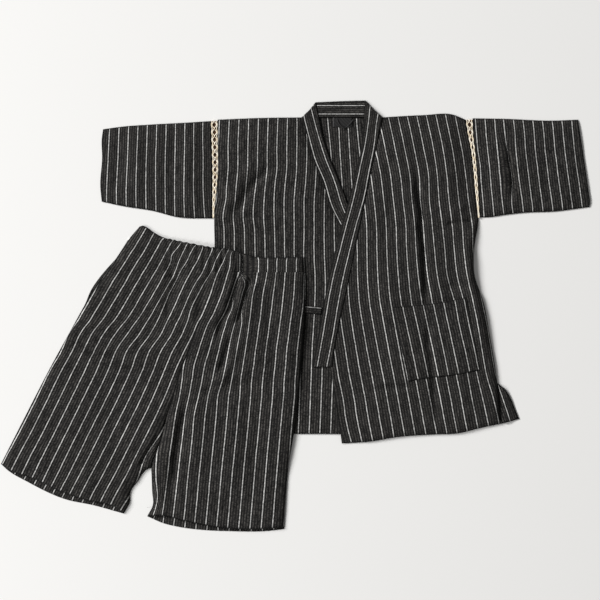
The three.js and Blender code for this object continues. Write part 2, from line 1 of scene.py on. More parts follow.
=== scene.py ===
# %% [markdown]
# A jinbei, laid flat. A jinbei is a summer set of a wrap jacket and shorts, woven in cotton that stays
# crinkled so that it doesn't cling. This lesson makes the set as it lies face up on a pale table, seen
# from straight above: first the camera, then the cloth and its stripes, then each cut piece in the order
# a maker lays them, and last the table and its light. Every length is in millimetres until a mesh is
# made. X runs across the set, Y runs up to the neck, Z is up.

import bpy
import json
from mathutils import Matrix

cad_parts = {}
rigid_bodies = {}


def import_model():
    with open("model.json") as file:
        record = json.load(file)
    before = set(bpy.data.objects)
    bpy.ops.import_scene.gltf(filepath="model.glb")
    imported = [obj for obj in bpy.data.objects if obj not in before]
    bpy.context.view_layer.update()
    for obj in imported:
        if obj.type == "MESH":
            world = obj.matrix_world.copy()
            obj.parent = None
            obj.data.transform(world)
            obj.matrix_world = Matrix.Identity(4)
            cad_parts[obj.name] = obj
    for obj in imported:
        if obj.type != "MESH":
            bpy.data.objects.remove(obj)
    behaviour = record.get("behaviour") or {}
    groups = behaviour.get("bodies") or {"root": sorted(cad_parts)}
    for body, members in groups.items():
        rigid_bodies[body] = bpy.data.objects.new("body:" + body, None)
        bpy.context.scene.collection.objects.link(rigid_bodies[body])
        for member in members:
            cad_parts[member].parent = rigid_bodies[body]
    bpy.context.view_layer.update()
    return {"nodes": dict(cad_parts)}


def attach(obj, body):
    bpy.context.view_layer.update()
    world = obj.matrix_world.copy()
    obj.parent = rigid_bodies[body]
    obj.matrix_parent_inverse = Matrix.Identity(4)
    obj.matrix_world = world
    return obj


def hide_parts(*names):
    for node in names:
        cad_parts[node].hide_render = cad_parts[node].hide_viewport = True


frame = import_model()
print("solids in the frame:", len(frame["nodes"]))

# %% Tools
import json
import math

import bpy
import numpy as np

MM = 0.001
TURN = 2 * math.pi

# %% [markdown]
# The camera of a catalogue picture of clothes hangs from a boom and looks straight down, far enough away
# that sleeves and hems aren't drawn larger than the middle. A long lens at four metres does that.

# %% The camera
VIEW_CENTRE = (10.0, 35.6)
VIEW_WIDTH = 1320.0
CAMERA_HEIGHT = 4000.0
SENSOR = 36.0

camera = bpy.data.objects.new("Camera", bpy.data.cameras.new("Camera"))
bpy.context.scene.collection.objects.link(camera)
camera.data.sensor_width = SENSOR
camera.data.lens = SENSOR * CAMERA_HEIGHT / VIEW_WIDTH
camera.location = (VIEW_CENTRE[0] * MM, VIEW_CENTRE[1] * MM, CAMERA_HEIGHT * MM)
bpy.context.scene.camera = camera
print("lens:", round(camera.data.lens, 1), "mm")

# %% [markdown]
# Cloth has no straight lines once it lies down. Two helpers make it soft: one eases a value in and out,
# and one makes smooth random hills, always the same ones because the numbers are seeded. A noise texture
# could make hills too, but here the meshes themselves need them.

# %% Soft steps and random hills
LATTICE_SIZE = 64
SEED_STEP = (17.3, 9.1)
LATTICE = np.random.default_rng(11).random((LATTICE_SIZE, LATTICE_SIZE))


def soft(value, start, end):
    """0 before start and 1 after end, eased between them."""
    t = np.clip((np.asarray(value, float) - start) / (end - start), 0, 1)
    return t * t * (3 - 2 * t)


def hills(x, y, size, seed=0):
    """Smooth random hills from -1 to 1, about size apart. Each seed starts elsewhere in the lattice."""
    across, up = x / size + SEED_STEP[0] * seed, y / size + SEED_STEP[1] * seed
    i, j = np.floor(across).astype(int), np.floor(up).astype(int)
    s, t = soft(across - i, 0, 1), soft(up - j, 0, 1)

    def corner(a, b):
        return LATTICE[(i + a) % LATTICE_SIZE, (j + b) % LATTICE_SIZE]

    low = corner(0, 0) * (1 - s) + corner(1, 0) * s
    high = corner(0, 1) * (1 - s) + corner(1, 1) * s
    return 2 * (low * (1 - t) + high * t) - 1


print("height of the hills at the origin:", round(float(hills(0.0, 0.0, 23)), 2))


# %% [markdown]
# A pattern maker draws each edge as a smooth curve through a few marks. The same curve gives the stripes:
# a few guide lines are charted down each piece, and the stripes between them are counted off evenly.

# %% Curves through marks
FAR = 1e9


def through(at, marks, values):
    """A smooth curve through values at rising marks, read at each place in at, and straight past its ends."""
    marks, values = np.asarray(marks, float), np.asarray(values, float)
    slopes = np.gradient(values, marks)
    held = np.clip(at, marks[0], marks[-1])
    k = np.clip(np.searchsorted(marks, held, side="right") - 1, 0, len(marks) - 2)
    width = marks[k + 1] - marks[k]
    t = (held - marks[k]) / width
    curve = values[k] + (values[k + 1] - values[k]) * t * t * (3 - 2 * t)
    curve = curve + width * t * (1 - t) * (slopes[k] * (1 - t) - slopes[k + 1] * t)
    return curve + np.where(at < marks[0], slopes[0], slopes[-1]) * (at - held)


def lengths_along(line):
    """How far along a line each of its points is."""
    return np.concatenate([[0], np.cumsum(np.hypot(*np.diff(line, axis=0).T))])


def drawn(*marks, step=8):
    """An edge in short steps, on a smooth curve through its marks."""
    marks = np.array(marks, float)
    run = lengths_along(marks)
    at = np.linspace(0, run[-1], max(2, int(run[-1] / step)) + 1)
    return np.column_stack([through(at, run, marks[:, 0]), through(at, run, marks[:, 1])])


def at_height(line, y):
    """X of an edge that runs down the garment, at each height y."""
    return np.interp(y, line[::-1, 1], line[::-1, 0])


def gap_to(x, y, *lines):
    """Distance from each point to the nearest of some edges."""
    best = np.full(np.shape(x), FAR)
    for line in lines:
        for a, b in zip(line, line[1:]):
            run = b - a
            t = np.clip(((x - a[0]) * run[0] + (y - a[1]) * run[1]) / (run @ run), 0, 1)
            best = np.minimum(best, np.hypot(x - a[0] - t * run[0], y - a[1] - t * run[1]))
    return best


print("points along a drawn 100 mm:", len(drawn((0, 0), (0, 100))))


# %% [markdown]
# The set's outlines follow those of the solid model, so that each fine piece lies on its plain one. Only
# the inner edge of the right leg is drawn a little closer to the picture. Right and left are the
# wearer's, so the right side of the jacket is on the left of the picture.

# %% Outlines of the jacket
RIGHT_SIDE = drawn(
    (-171, 432), (-170.5, 401), (-170, 366), (-170, 315), (-173, 278), (-177, 242), (-178.5, 215),
    (-178, 151), (-182, 97), (-196, 26), (-206, -33), (-222, -147), (-229, -258),
)
LEFT_SIDE = drawn(
    (374, 432), (379, 401), (386, 366), (392, 315), (395, 278), (399, 242), (402, 215),
    (393.5, 151), (393, 97), (415, 26), (426, -33), (444, -147), (452, -236.5),
)
FLAP_SIDE = np.vstack([
    LEFT_SIDE[LEFT_SIDE[:, 1] > -140],
    drawn((444, -147), (458, -158), (474, -182), (483, -205), (492, -226)),
])
UNDER_SEAM = drawn(
    (17, 437), (30, 392), (44, 341), (61, 302), (78, 248), (101, 198), (109, 146), (119, 64), (134, -4),
    (152, -111),
)
UNDER_LEAD = drawn(
    (46, 468), (62, 392), (79, 341), (95, 302), (115, 248), (133, 198), (146, 146), (162, 64), (174, -4),
    (193, -111),
)
OVER_SEAM = drawn(
    (189, 437), (184, 410), (176, 370), (167, 329), (158, 286), (150, 248), (140, 198), (129, 146), (112, 64),
    (97, -4), (84, -73), (79, -111),
)
OVER_LEAD = drawn(
    (152.5, 472), (149, 410), (145, 370), (136, 329), (125, 286), (115, 248), (100, 198), (87, 146), (69, 64),
    (57, -4), (44, -73), (38, -111),
)
UNDER_EDGE = np.vstack([UNDER_SEAM, drawn((152, -111), (145, -180), (133, -259))[1:]])
OVER_EDGE = np.vstack([OVER_SEAM, drawn((79, -111), (84, -165), (91, -206), (102, -280))[1:]])
UNDER_REACH = np.vstack([UNDER_LEAD, drawn((193, -111), (152, -160), (133, -259))[1:]])
RIGHT_SHOULDER = drawn((-171, 432), (-69, 436), (17, 437))
LEFT_SHOULDER = drawn((189, 437), (280, 442), (347, 443), (374, 432))
NECK_SEAM = drawn((17, 436.3), (189, 436.3))
NECK_TOP = drawn((44, 470.2), (99, 472.6), (154, 474.1))
UNDER_HEM = drawn((-229, -258), (-48, -258.5), (133, -259))
OVER_HEM = drawn(
    (102, -280), (171, -275), (217, -267), (309, -260), (356, -258), (407, -246), (452, -236.5),
)
BACK_HEM = drawn((-229, -255), (133, -256), (300, -251), (450, -237), (492, -226))
CHEST_Y = 215
print("flat across the chest:", round(at_height(LEFT_SIDE, CHEST_Y) - at_height(RIGHT_SIDE, CHEST_Y)), "mm")

# %% Outlines of the sleeves, the pocket and the tie
RIGHT_SLEEVE = {
    "top": drawn((-423, 411), (-379, 417), (-324, 421), (-233, 426), (-186, 429)),
    "bottom": drawn((-426, 252), (-373, 241), (-315, 232), (-260, 218), (-182, 215)),
    "left": drawn((-423, 411), (-426, 388), (-425, 351), (-429, 284), (-426, 252)),
    "right": drawn((-186, 429), (-182.5, 315), (-182.5, 242), (-182, 215)),
}
LEFT_SLEEVE = {
    "top": drawn((390, 435), (457, 434), (566, 430), (621, 432)),
    "bottom": drawn((405, 217), (430, 218), (457, 222), (512, 228), (566, 230), (646, 240)),
    "left": drawn((390, 435), (391, 401), (395, 366), (398, 333), (402, 278), (405, 217)),
    "right": drawn((621, 432), (628, 388), (634, 348), (645, 270), (647.6, 251), (646, 240)),
}
POCKET = {
    "top": drawn((214, 20), (303, 28), (376, 41)),
    "bottom": drawn((247, -143), (290, -136), (336, -131), (406, -118)),
    "left": drawn((214, 20), (247, -143)),
    "right": drawn((376, 41), (406, -118)),
}
TIE = {
    "top": drawn((-74, 33), (59.5, 19.5)),
    "bottom": drawn((-74, 16.5), (56.5, 3)),
    "left": drawn((-74, 33), (-74, 16.5)),
    "right": drawn((59.5, 19.5), (56.5, 3)),
}
print("pocket mouth:", round(lengths_along(POCKET["top"])[-1]), "mm")

# %% Outlines of the shorts
WAIST_TOP = drawn(
    (-343, 197), (-338, 199), (-313, 185), (-292, 174), (-272, 169), (-219, 158), (-180, 151), (-137, 146),
    (-111, 137), (-91, 132), (17, 130),
)
RIGHT_WAIST = drawn((-368, 168), (-329, 147), (-292, 126), (-241, 116), (-183, 98), (-153, 97))
LEFT_WAIST = drawn((-153, 97), (-83, 96), (20, 97))
CENTRE_SEAM = drawn(
    (-153, 97), (-184, 36), (-217, -30), (-236, -81), (-254, -129), (-273, -194), (-282, -218), (-291, -257),
    (-302, -290), (-317, -334),
)
CASING_SEAM = np.vstack([RIGHT_WAIST, LEFT_WAIST[1:]])
WAIST_LEFT_END = np.array([WAIST_TOP[0], CASING_SEAM[0]])
WAIST_RIGHT_END = np.array([WAIST_TOP[-1], CASING_SEAM[-1]])
RIGHT_INSEAM = drawn(
    (-317, -334), (-330, -339), (-339, -350), (-348, -365), (-359, -378), (-364, -391), (-364, -408),
    (-370, -421), (-378, -434),
)
LEFT_INSEAM = drawn((-317, -334), (-316, -360), (-315, -387), (-313, -413), (-326, -440))
RIGHT_OUTSEAM = drawn(
    (-368, 168), (-393, 129), (-466, 20), (-493, -29), (-530, -96), (-611, -253), (-647.6, -325),
)
RIGHT_BACK_OUT = np.vstack([
    drawn((-368, 168), (-393, 129), (-417, 102), (-437, 77), (-451, 55), (-462, 28), (-466, 20)),
    drawn((-466, 20), (-493, -29), (-530, -96), (-611, -253), (-647.6, -325))[1:],
])
LEFT_OUTSEAM = drawn((20, 97), (21, 14), (17, -63), (8, -162), (-3, -255), (-13, -316), (-25, -464))
RIGHT_HEM = drawn(
    (-647.6, -325), (-626, -339), (-575, -357), (-518, -384), (-485, -396), (-451, -406), (-421, -411),
    (-395, -420), (-378, -434),
)
RIGHT_BACK_HEM = drawn((-647.6, -325), (-634, -338), (-589, -365), (-505, -404), (-445, -417), (-378, -436))
LEFT_HEM = drawn(
    (-326, -440), (-292, -438), (-245, -449), (-197, -459), (-149, -466), (-102, -468), (-25, -464),
)
LEFT_BACK_HEM = drawn(
    (-326, -444), (-290, -459), (-264, -465), (-192, -473), (-149, -474.1), (-54, -472), (-25, -468),
)
print("width of the set:", round(LEFT_SLEEVE["right"][:, 0].max() - RIGHT_OUTSEAM[:, 0].min()), "mm")


# %% [markdown]
# A cut piece is spread as a fine net between its four edges, like a hammock: each point is pulled to the
# top, bottom, left and right edges by how near they are. An outline could be filled with one flat face
# instead, but that has no points inside it to lift into creases.

# %% Spreading a net between four edges
def shares_of(line, shares):
    """Points on a line at some shares of its length, from 0 to 1."""
    run = lengths_along(line)
    return np.column_stack([np.interp(shares * run[-1], run, line[:, k]) for k in (0, 1)])


def spread(top, bottom, left, right, cell=3.6):
    """Grids of x and y for a piece between its edges. Rows run down and columns run across."""
    wide = max(lengths_along(top)[-1], lengths_along(bottom)[-1])
    long = max(lengths_along(left)[-1], lengths_along(right)[-1])
    u, v = np.linspace(0, 1, int(wide / cell) + 2), np.linspace(0, 1, int(long / cell) + 2)
    across, down = np.meshgrid(u, v)
    s, t = across[..., None], down[..., None]
    ends = (top[0] * (1 - s) + top[-1] * s) * (1 - t) + (bottom[0] * (1 - s) + bottom[-1] * s) * t
    net = (1 - t) * shares_of(top, u)[None] + t * shares_of(bottom, u)[None]
    net = net + (1 - s) * shares_of(left, v)[:, None] + s * shares_of(right, v)[:, None] - ends
    return net[..., 0], net[..., 1]


print("points in the pocket's net:", spread(**POCKET)[0].size)


# %% [markdown]
# The stripes are woven in, so they bend with the cloth. Each chart gives the X of a few numbered stripes
# at some heights. Reading it at any point gives a stripe count: a whole number is the middle of a light
# stripe. Where cloth is folded away at the waist, the numbers crowd together.

# %% Stripe charts of the jacket: the stripes' numbers, then rows of a height and each stripe's X
UNDER_STRIPES = ((0, 3, 5, 8, 11), (
    (443, -145, -81, -38, 24, 89), (366, -148, -83, -41, 25, 89), (322, -148, -84, -41, 24, 88),
    (289, -151, -87, -45, 22, 87), (256, -153, -91, -47, 19, 86), (220, -159, -93, -47, 19, 85),
    (190, -157, -90, -46, 19, 85), (146, -157, -89, -45, 18, 86), (69, -157, -87, -43, 21, 88),
    (-19, -159, -91, -47, 18, 84), (-63, -164, -96, -52, 14, 83), (-129, -166, -99, -55, 11, 82),
    (-184, -168, -101, -57, 9, 80), (-261, -173, -104, -60, 6, 77),
))
OVER_STRIPES = ((0, 4, 8, 11, 12, 15), (
    (449, 31, 116, 202, 265, 286, 350), (421, 36, 122, 208, 271, 292, 355),
    (366, 47, 133, 219, 282, 303, 366), (311, 58, 144, 230, 292, 311, 374),
    (256, 65, 151, 236, 294, 315, 380), (201, 69, 156, 242, 300, 322, 388),
    (146, 72, 157, 244, 305, 328, 390), (91, 72, 158, 248, 311, 333, 398),
    (36, 73, 162, 254, 322, 348, 409), (-19, 78, 171, 265, 333, 357, 421),
    (-74, 86, 181, 275, 343, 368, 430), (-129, 94, 192, 285, 353, 378, 440),
    (-184, 105, 202, 296, 364, 388, 459), (-228, 111, 210, 304, 372, 397, 470),
    (-283, 124, 219, 315, 384, 408, 483),
))
BACK_STRIPES = ((0, 1, 2, 3, 4, 18), (
    (480, 67, 90, 112, 132, 160, 384), (432, 71, 94, 115, 134, 161, 388),
    (348, 79, 99, 120, 142, 166, 397), (286, 84, 103, 124, 146, 168, 406),
    (-151, 87, 109, 131, 153, 174, 446), (-231, 98, 120, 142, 164, 184, 472),
    (-255, 100, 122, 144, 166, 187, 479),
))
OVER_COLLAR_STRIPES = ((0, 1), (
    (480, 167, 187), (460, 164, 184), (424, 160, 178), (377, 153, 173), (322, 141, 162), (256, 127, 149),
    (200, 112, 133), (141, 97, 118), (86, 83, 105), (36, 73, 95), (-37, 61, 83), (-114, 47, 68),
))
UNDER_COLLAR_STRIPES = ((0, 1), (
    (480, 10, 29), (438, 19, 39), (387, 32, 53), (341, 45, 68), (302, 62, 84), (234, 84, 106),
    (194, 105, 127), (36, 155, 177), (-118, 199, 221),
))
print("charted stripes, under and over front:", len(UNDER_STRIPES[0]), len(OVER_STRIPES[0]))

# %% Stripe charts of the sleeves
RIGHT_SLEEVE_STRIPES = ((0, 2, 5, 8, 10), (
    (443, -407, -366, -305, -243, -203), (405, -409, -367, -305, -243, -204),
    (344, -412, -369, -307, -244, -203), (278, -415, -372, -307, -245, -203),
    (207, -415, -371, -306, -244, -199),
))
LEFT_SLEEVE_STRIPES = ((0, 2, 2.7, 3.3, 4, 5, 8, 10), (
    (443, 395, 437, 450, 463, 478, 499, 563, 606), (399, 398, 440, 453, 467, 482, 503, 567, 610),
    (366, 401, 443, 464, 466, 484, 505, 570, 613), (333, 406, 446, 470, 472, 487, 509, 574, 617),
    (300, 408, 449, 475, 477, 491, 513, 578, 622), (245, 413, 455, 469, 482, 499, 520, 586, 630),
    (212, 415, 460, 474, 487, 503, 524, 590, 635),
))
print("charted stripes, sleeves:", len(RIGHT_SLEEVE_STRIPES[0]), len(LEFT_SLEEVE_STRIPES[0]))

# %% Stripe charts of the shorts
RIGHT_LEG_STRIPES = ((1, 4, 6, 8, 11, 12), (
    (201, -327, -239, -195, -168, -103, -82), (179, -340, -261, -214, -186, -121, -100),
    (157, -353, -278, -238, -204, -135, -112), (135, -366, -289, -252, -212, -147, -126),
    (113, -379, -303, -261, -221, -162, -143), (80, -399, -321, -274, -241, -176, -155),
    (36, -424, -346, -300, -262, -194, -171), (-8, -451, -373, -324, -281, -213, -190),
    (-41, -474, -397, -344, -296, -226, -203), (-74, -489, -417, -369, -319, -243, -218),
    (-118, -513, -436, -386, -336, -263, -239), (-184, -545, -468, -417, -366, -290, -264),
    (-250, -578, -500, -450, -399, -322, -292), (-316, -613, -533, -482, -432, -355, -333),
    (-350, -630, -549, -499, -450, -372, -344), (-382, -646, -565, -516, -467, -390, -358),
    (-437, -672, -591, -542, -493, -418, -391),
))
LEFT_LEG_STRIPES = ((0, 1, 3, 5, 7, 9, 12), (
    (157, -172, -154, -118, -90, -73, -42, 22), (119, -178, -160, -124, -96, -78, -43, 21),
    (91, -197, -174, -128, -100, -83, -43, 20), (58, -208, -185, -139, -115, -92, -48, 19),
    (25, -219, -197, -152, -123, -97, -52, 15), (-8, -233, -211, -167, -131, -101, -56, 12),
    (-41, -245, -223, -180, -140, -105, -60, 8), (-74, -258, -235, -189, -147, -110, -65, 4),
    (-107, -268, -245, -199, -153, -115, -68, 2), (-140, -271, -249, -205, -160, -120, -72, -1),
    (-173, -276, -254, -212, -170, -122, -74, -2), (-206, -284, -261, -220, -173, -125, -77, -5),
    (-272, -299, -271, -227, -179, -131, -83, -11), (-300, -304, -275, -230, -182, -134, -86, -13),
    (-360, -306, -282, -237, -188, -140, -91, -18), (-396, -303, -287, -240, -191, -143, -94, -21),
    (-475, -326, -298, -248, -199, -150, -101, -27),
))
WAIST_STRIPES = ((1, 2, 3, 4, 5, 6, 7, 8, 9, 10, 11, 12, 13, 13.15, 14.12, 15, 15.45, 16.12,
                  16.8, 17, 18, 19, 20, 21, 22), (
    (200, -325, -302, -277, -253, -226, -214, -200, -184, -168, -149, -135, -124, -114, -112,
     -111.6, -111.2, -110.8, -110.4, -80, -76, -55, -33, -11, 9, 30),
    (180, -336, -312, -287, -263, -238, -226, -209, -191, -173, -152, -138, -128, -116, -114,
     -113.6, -113.2, -112.8, -112.4, -81, -77, -56, -34, -12, 8, 29),
    (165, -345, -320, -295, -271, -247, -235, -217, -197, -177, -155, -141, -131, -117, -115,
     -114.6, -114.2, -113.8, -113.4, -82, -78, -57, -35, -13, 7, 28),
    (150, -354, -328, -303, -279, -259, -242, -224, -203, -181, -160, -145, -136, -118, -116,
     -115.6, -115.2, -114.8, -114.4, -83, -79, -58, -37, -15, 5, 26),
    (135, -364, -337, -312, -287, -271, -249, -232, -209, -187, -168, -152, -142, -122, -119,
     -118.6, -118.2, -117.8, -117.4, -84, -80, -60, -38.5, -17, 3.5, 25),
    (120, -373, -347, -320, -295, -274, -256, -239, -216, -194, -176, -158, -143, -122, -119,
     -118.6, -118.2, -117.8, -117.4, -85, -81, -61, -41, -20, 2, 23),
    (105, -383, -356, -329, -303, -281, -261, -249, -225, -200, -181, -166, -145, -124, -118,
     -117.6, -117.2, -116.8, -116.4, -86.5, -82.5, -62, -43, -22, 0, 21),
    (92, -391, -364, -337, -311, -288, -266, -256, -232, -206, -188, -172, -149, -126, -120,
     -119.6, -119.2, -118.8, -118.4, -88, -84, -63, -43, -23, -1, 19),
    (75, -402, -373, -347, -321, -297, -275.5, -264.5, -241.5, -217.5, -199, -178, -154, -132, -128.5,
     -127.5, -111, -104, -103, -91, -87, -66, -45, -24, -2, 18.5),
    (50, -416, -388, -361.5, -336, -311, -290, -277.5, -253, -231, -213, -186, -161.5, -140, -137,
     -136, -116, -109.5, -108.5, -97, -93, -71, -48.5, -26.5, -3.5, 18),
    (20, -433.5, -406, -379, -353, -329, -307, -290, -266.5, -244, -228, -197.5, -173.5, -150.5, -146.5,
     -137.5, -124, -118, -116.5, -101, -97, -74.5, -52, -29.5, -6.5, 16),
    (-11, -452, -425, -398, -372, -348, -324, -303, -281, -257, -237, -211, -187, -164, -162,
     -150.5, -131.5, -125.5, -117, -104, -100, -77.5, -56, -33, -11, 11.5),
))
print("charted stripes, legs and waist:", len(RIGHT_LEG_STRIPES[0]), len(LEFT_LEG_STRIPES[0]),
      len(WAIST_STRIPES[0]))

# %% Counting the stripes
def stripe_count(chart, x, y):
    """Number of stripes passed at each point, counted from the charted ones."""
    numbers, rows = np.array(chart[0], float), np.array(chart[1][::-1], float)
    lines = np.array([through(y, rows[:, 0], rows[:, k + 1]) for k in range(len(numbers))])
    k = (lines[1:-1] < x).sum(axis=0)
    low, high = (np.take_along_axis(lines, (k + n)[None], axis=0)[0] for n in (0, 1))
    return numbers[k] + (numbers[k + 1] - numbers[k]) * (x - low) / (high - low)


at_side = stripe_count(OVER_STRIPES, np.array([at_height(LEFT_SIDE, CHEST_Y)]), np.array([CHEST_Y]))
print("stripes on the over front, across the chest:", round(float(at_side[0]), 1))


# %% [markdown]
# A woven cotton is hardly half a millimetre thick, but two crinkled layers with air between them stand
# higher than that. Each piece becomes a thin closed shell: an upper net, the same net a cloth's thickness
# lower, and a rim between them. A modifier could thicken a net too, but the sides of a shell made here
# can carry the weave. Four numbers go with every point for the weave to be drawn from: the stripe count,
# the metres along the thread, the number of the cut, and the millimetres to its nearest pressed edge.

# %% Sewing a net into a thin shell
CLOTH = 0.8
FLOOR_GAP = 0.1


def grid_faces(rows, columns, start=0, upward=True):
    """The four-cornered faces of a net whose points are numbered from start."""
    k = (np.arange(rows - 1)[:, None] * columns + np.arange(columns - 1)[None]).ravel() + start
    faces = np.column_stack([k, k + columns, k + columns + 1, k + 1])
    return faces if upward else faces[:, ::-1]


def as_object(name, points, faces, cloth=None):
    """A mesh object from points in millimetres, turned outwards and shaded smooth."""
    mesh = bpy.data.meshes.new(name)
    mesh.from_pydata((np.asarray(points) * MM).tolist(), [], [list(map(int, face)) for face in faces])
    if cloth is not None:
        weave = mesh.attributes.new("cloth", "FLOAT_VECTOR", "POINT")
        weave.data.foreach_set("vector", np.ascontiguousarray(cloth[:, :3], np.float32).ravel())
        edge = mesh.attributes.new("edge", "FLOAT", "POINT")
        edge.data.foreach_set("value", np.ascontiguousarray(cloth[:, 3], np.float32))
    mesh.shade_smooth()
    piece = bpy.data.objects.new(name, mesh)
    bpy.context.scene.collection.objects.link(piece)
    return piece


def shell(name, x, y, top, weave, thick=CLOTH):
    """A thin closed piece of cloth under the heights in top."""
    rows, columns = x.shape
    size = x.size
    upper = np.column_stack([x.ravel(), y.ravel(), top.ravel()])
    points = np.vstack([upper, upper - [0, 0, thick]])
    edge = np.concatenate([
        np.arange(rows) * columns,
        (rows - 1) * columns + np.arange(1, columns),
        (np.arange(rows - 2, -1, -1) + 1) * columns - 1,
        np.arange(columns - 2, 0, -1),
    ])
    beside = np.roll(edge, -1)
    rim = np.column_stack([edge, edge + size, beside + size, beside])
    faces = np.vstack([grid_faces(rows, columns), grid_faces(rows, columns, size, False), rim])
    return as_object(name, points, faces, np.vstack([weave, weave]))


print("thickness of one cloth:", CLOTH, "mm")


# %% [markdown]
# A sleeve and a waist casing are tubes pressed flat. Their net is closed on itself: over the top, round
# the fold, back underneath and up again, with an inner skin that leaves the ends open. Two flat panels
# would be quicker, but they would show a gap along the fold.

# %% Closing a net into a flat tube
def tube(name, x, y, top, floor, weave):
    """A flattened tube of cloth, with its lowest surface at floor. Rows run round it, columns along it."""
    rows, columns = x.shape

    def loop(grid_x, grid_y, high, low):
        over = np.stack([grid_x, grid_y, high], axis=-1)
        under = np.stack([grid_x, grid_y, low], axis=-1)[::-1]
        return np.concatenate([over, under])

    inner_x, inner_y = x.copy(), y.copy()
    for end, beside in ((0, 1), (-1, -2)):
        step = np.hypot(x[beside] - x[end], y[beside] - y[end])
        inner_x[end] += (x[beside] - x[end]) * CLOTH / step
        inner_y[end] += (y[beside] - y[end]) * CLOTH / step
    outer = loop(x, y, top, floor)
    inner = loop(inner_x, inner_y, top - CLOTH, floor + CLOTH)
    around = len(outer)
    points = np.vstack([outer.reshape(-1, 3), inner.reshape(-1, 3)])
    j = np.arange(around)[:, None]
    i = np.arange(columns - 1)[None]
    here, there = j * columns + i, (j + 1) % around * columns + i
    wall = np.stack([here, there, there + 1, here + 1], axis=-1).reshape(-1, 4)
    size = around * columns
    ring = np.arange(around) * columns
    following = np.roll(ring, -1)
    near = np.column_stack([following, ring, ring + size, following + size])
    far = np.column_stack([ring, following, following + size, ring + size]) + columns - 1
    faces = np.vstack([wall, wall[:, ::-1] + size, near, far])
    once = weave.reshape(rows, columns, 4)
    both = np.concatenate([once, once[::-1]]).reshape(-1, 4)
    return as_object(name, points, faces, np.vstack([both, both]))


# %% [markdown]
# A crease in laid cloth is a soft trough or ridge along a line. It is deepest somewhere in the middle,
# fades at both ends, and wanders a little. Cloth could be dropped by a simulation and left to crease by
# itself, but its folds would then lie anywhere, so each is placed where the picture shows it.

# %% Creases, rolled edges and small ripples
WANDER = 4.0
WANDER_SIZE = 40
FADE = 0.25
FIRST_SEED = 3


def crease(x, y, marks, width, rise, seed):
    """Height of one crease: a ridge where rise is above 0 and a trough where it is below."""
    x, y = x + WANDER * hills(x, y, WANDER_SIZE, seed), y + WANDER * hills(x, y, WANDER_SIZE, seed + 1)
    line = drawn(*marks, step=12)
    run = lengths_along(line)
    best, share = np.full(x.shape, FAR), np.zeros(x.shape)
    for a, b, start, end in zip(line, line[1:], run, run[1:]):
        t = np.clip(((x - a[0]) * (b[0] - a[0]) + (y - a[1]) * (b[1] - a[1])) / (end - start) ** 2, 0, 1)
        away = np.hypot(x - a[0] - t * (b[0] - a[0]), y - a[1] - t * (b[1] - a[1]))
        share = np.where(away < best, (start + t * (end - start)) / run[-1], share)
        best = np.minimum(best, away)
    return rise * soft(share, 0, FADE) * soft(1 - share, 0, FADE) * np.exp(-((best / width) ** 2))


def creases(x, y, table):
    """All the creases of a table, added up. Each wanders with a seed of its own."""
    return sum(crease(x, y, seed=FIRST_SEED + n, **row) for n, row in enumerate(table))


def rolled(gap, width):
    """A quarter round: 0 at an edge, 1 from width inwards."""
    return np.sqrt(1 - (1 - np.clip(gap / width, 0, 1)) ** 2)


def crinkle(x, y, seed=0):
    """The small puckers of a crinkled weave, longer down the thread than across it."""
    return 0.35 * hills(x, y * 0.4, 8, seed) + 0.5 * hills(x, y * 0.6, 23, seed + 5)


print("a rolled edge, halfway in:", round(float(rolled(0.5, 1.0)), 2))

# %% Where the jacket creases
JACKET_CREASES = [
    {"marks": [(262, 345), (268, 290), (274, 240), (280, 180), (284, 120), (288, 60), (292, -10)], "width": 7,
     "rise": -7.5},
    {"marks": [(246, 330), (254, 270), (262, 190), (268, 110), (270, 30)], "width": 11, "rise": 2.6},
    {"marks": [(290, 12), (294, -50), (299, -120), (304, -190), (309, -254)], "width": 9, "rise": -6.0},
    {"marks": [(226, 420), (230, 330), (232, 200)], "width": 16, "rise": 1.8},
    {"marks": [(-146, 205), (-112, 258), (-87, 293), (-44, 334)], "width": 9, "rise": -6.2},
    {"marks": [(-166, 222), (-132, 280), (-104, 320), (-60, 356)], "width": 13, "rise": 3.0},
    {"marks": [(-164, 196), (-120, 214), (-60, 226)], "width": 9, "rise": -2.6},
    {"marks": [(326, 198), (347, 203), (370, 207), (398, 216)], "width": 4.5, "rise": -6.0},
    {"marks": [(334, 232), (372, 240), (402, 250)], "width": 12, "rise": 3.0},
    {"marks": [(388, 200), (379, 130), (392, 50), (402, -30), (414, -110)], "width": 13, "rise": 5.0},
    {"marks": [(208, 24), (303, 32), (382, 45)], "width": 4, "rise": -2.6},
    {"marks": [(350, 190), (346, 110), (356, 20)], "width": 15, "rise": -2.4},
    {"marks": [(90, -164), (150, -162), (200, -159), (262, -156)], "width": 6, "rise": -5.4},
    {"marks": [(106, -150), (190, -142), (280, -140)], "width": 11, "rise": 2.8},
    {"marks": [(0, 130), (40, 126), (90, 124)], "width": 4.5, "rise": -3.8},
    {"marks": [(314, 60), (372, 66), (424, 50)], "width": 10, "rise": -3.4},
    {"marks": [(190, 130), (204, 10), (222, -150)], "width": 22, "rise": 2.4},
    {"marks": [(352, -40), (366, -140), (384, -250)], "width": 16, "rise": 2.4},
    {"marks": [(212, 380), (206, 250), (200, 140)], "width": 12, "rise": -2.0},
]
print("creases in the jacket's body:", len(JACKET_CREASES))

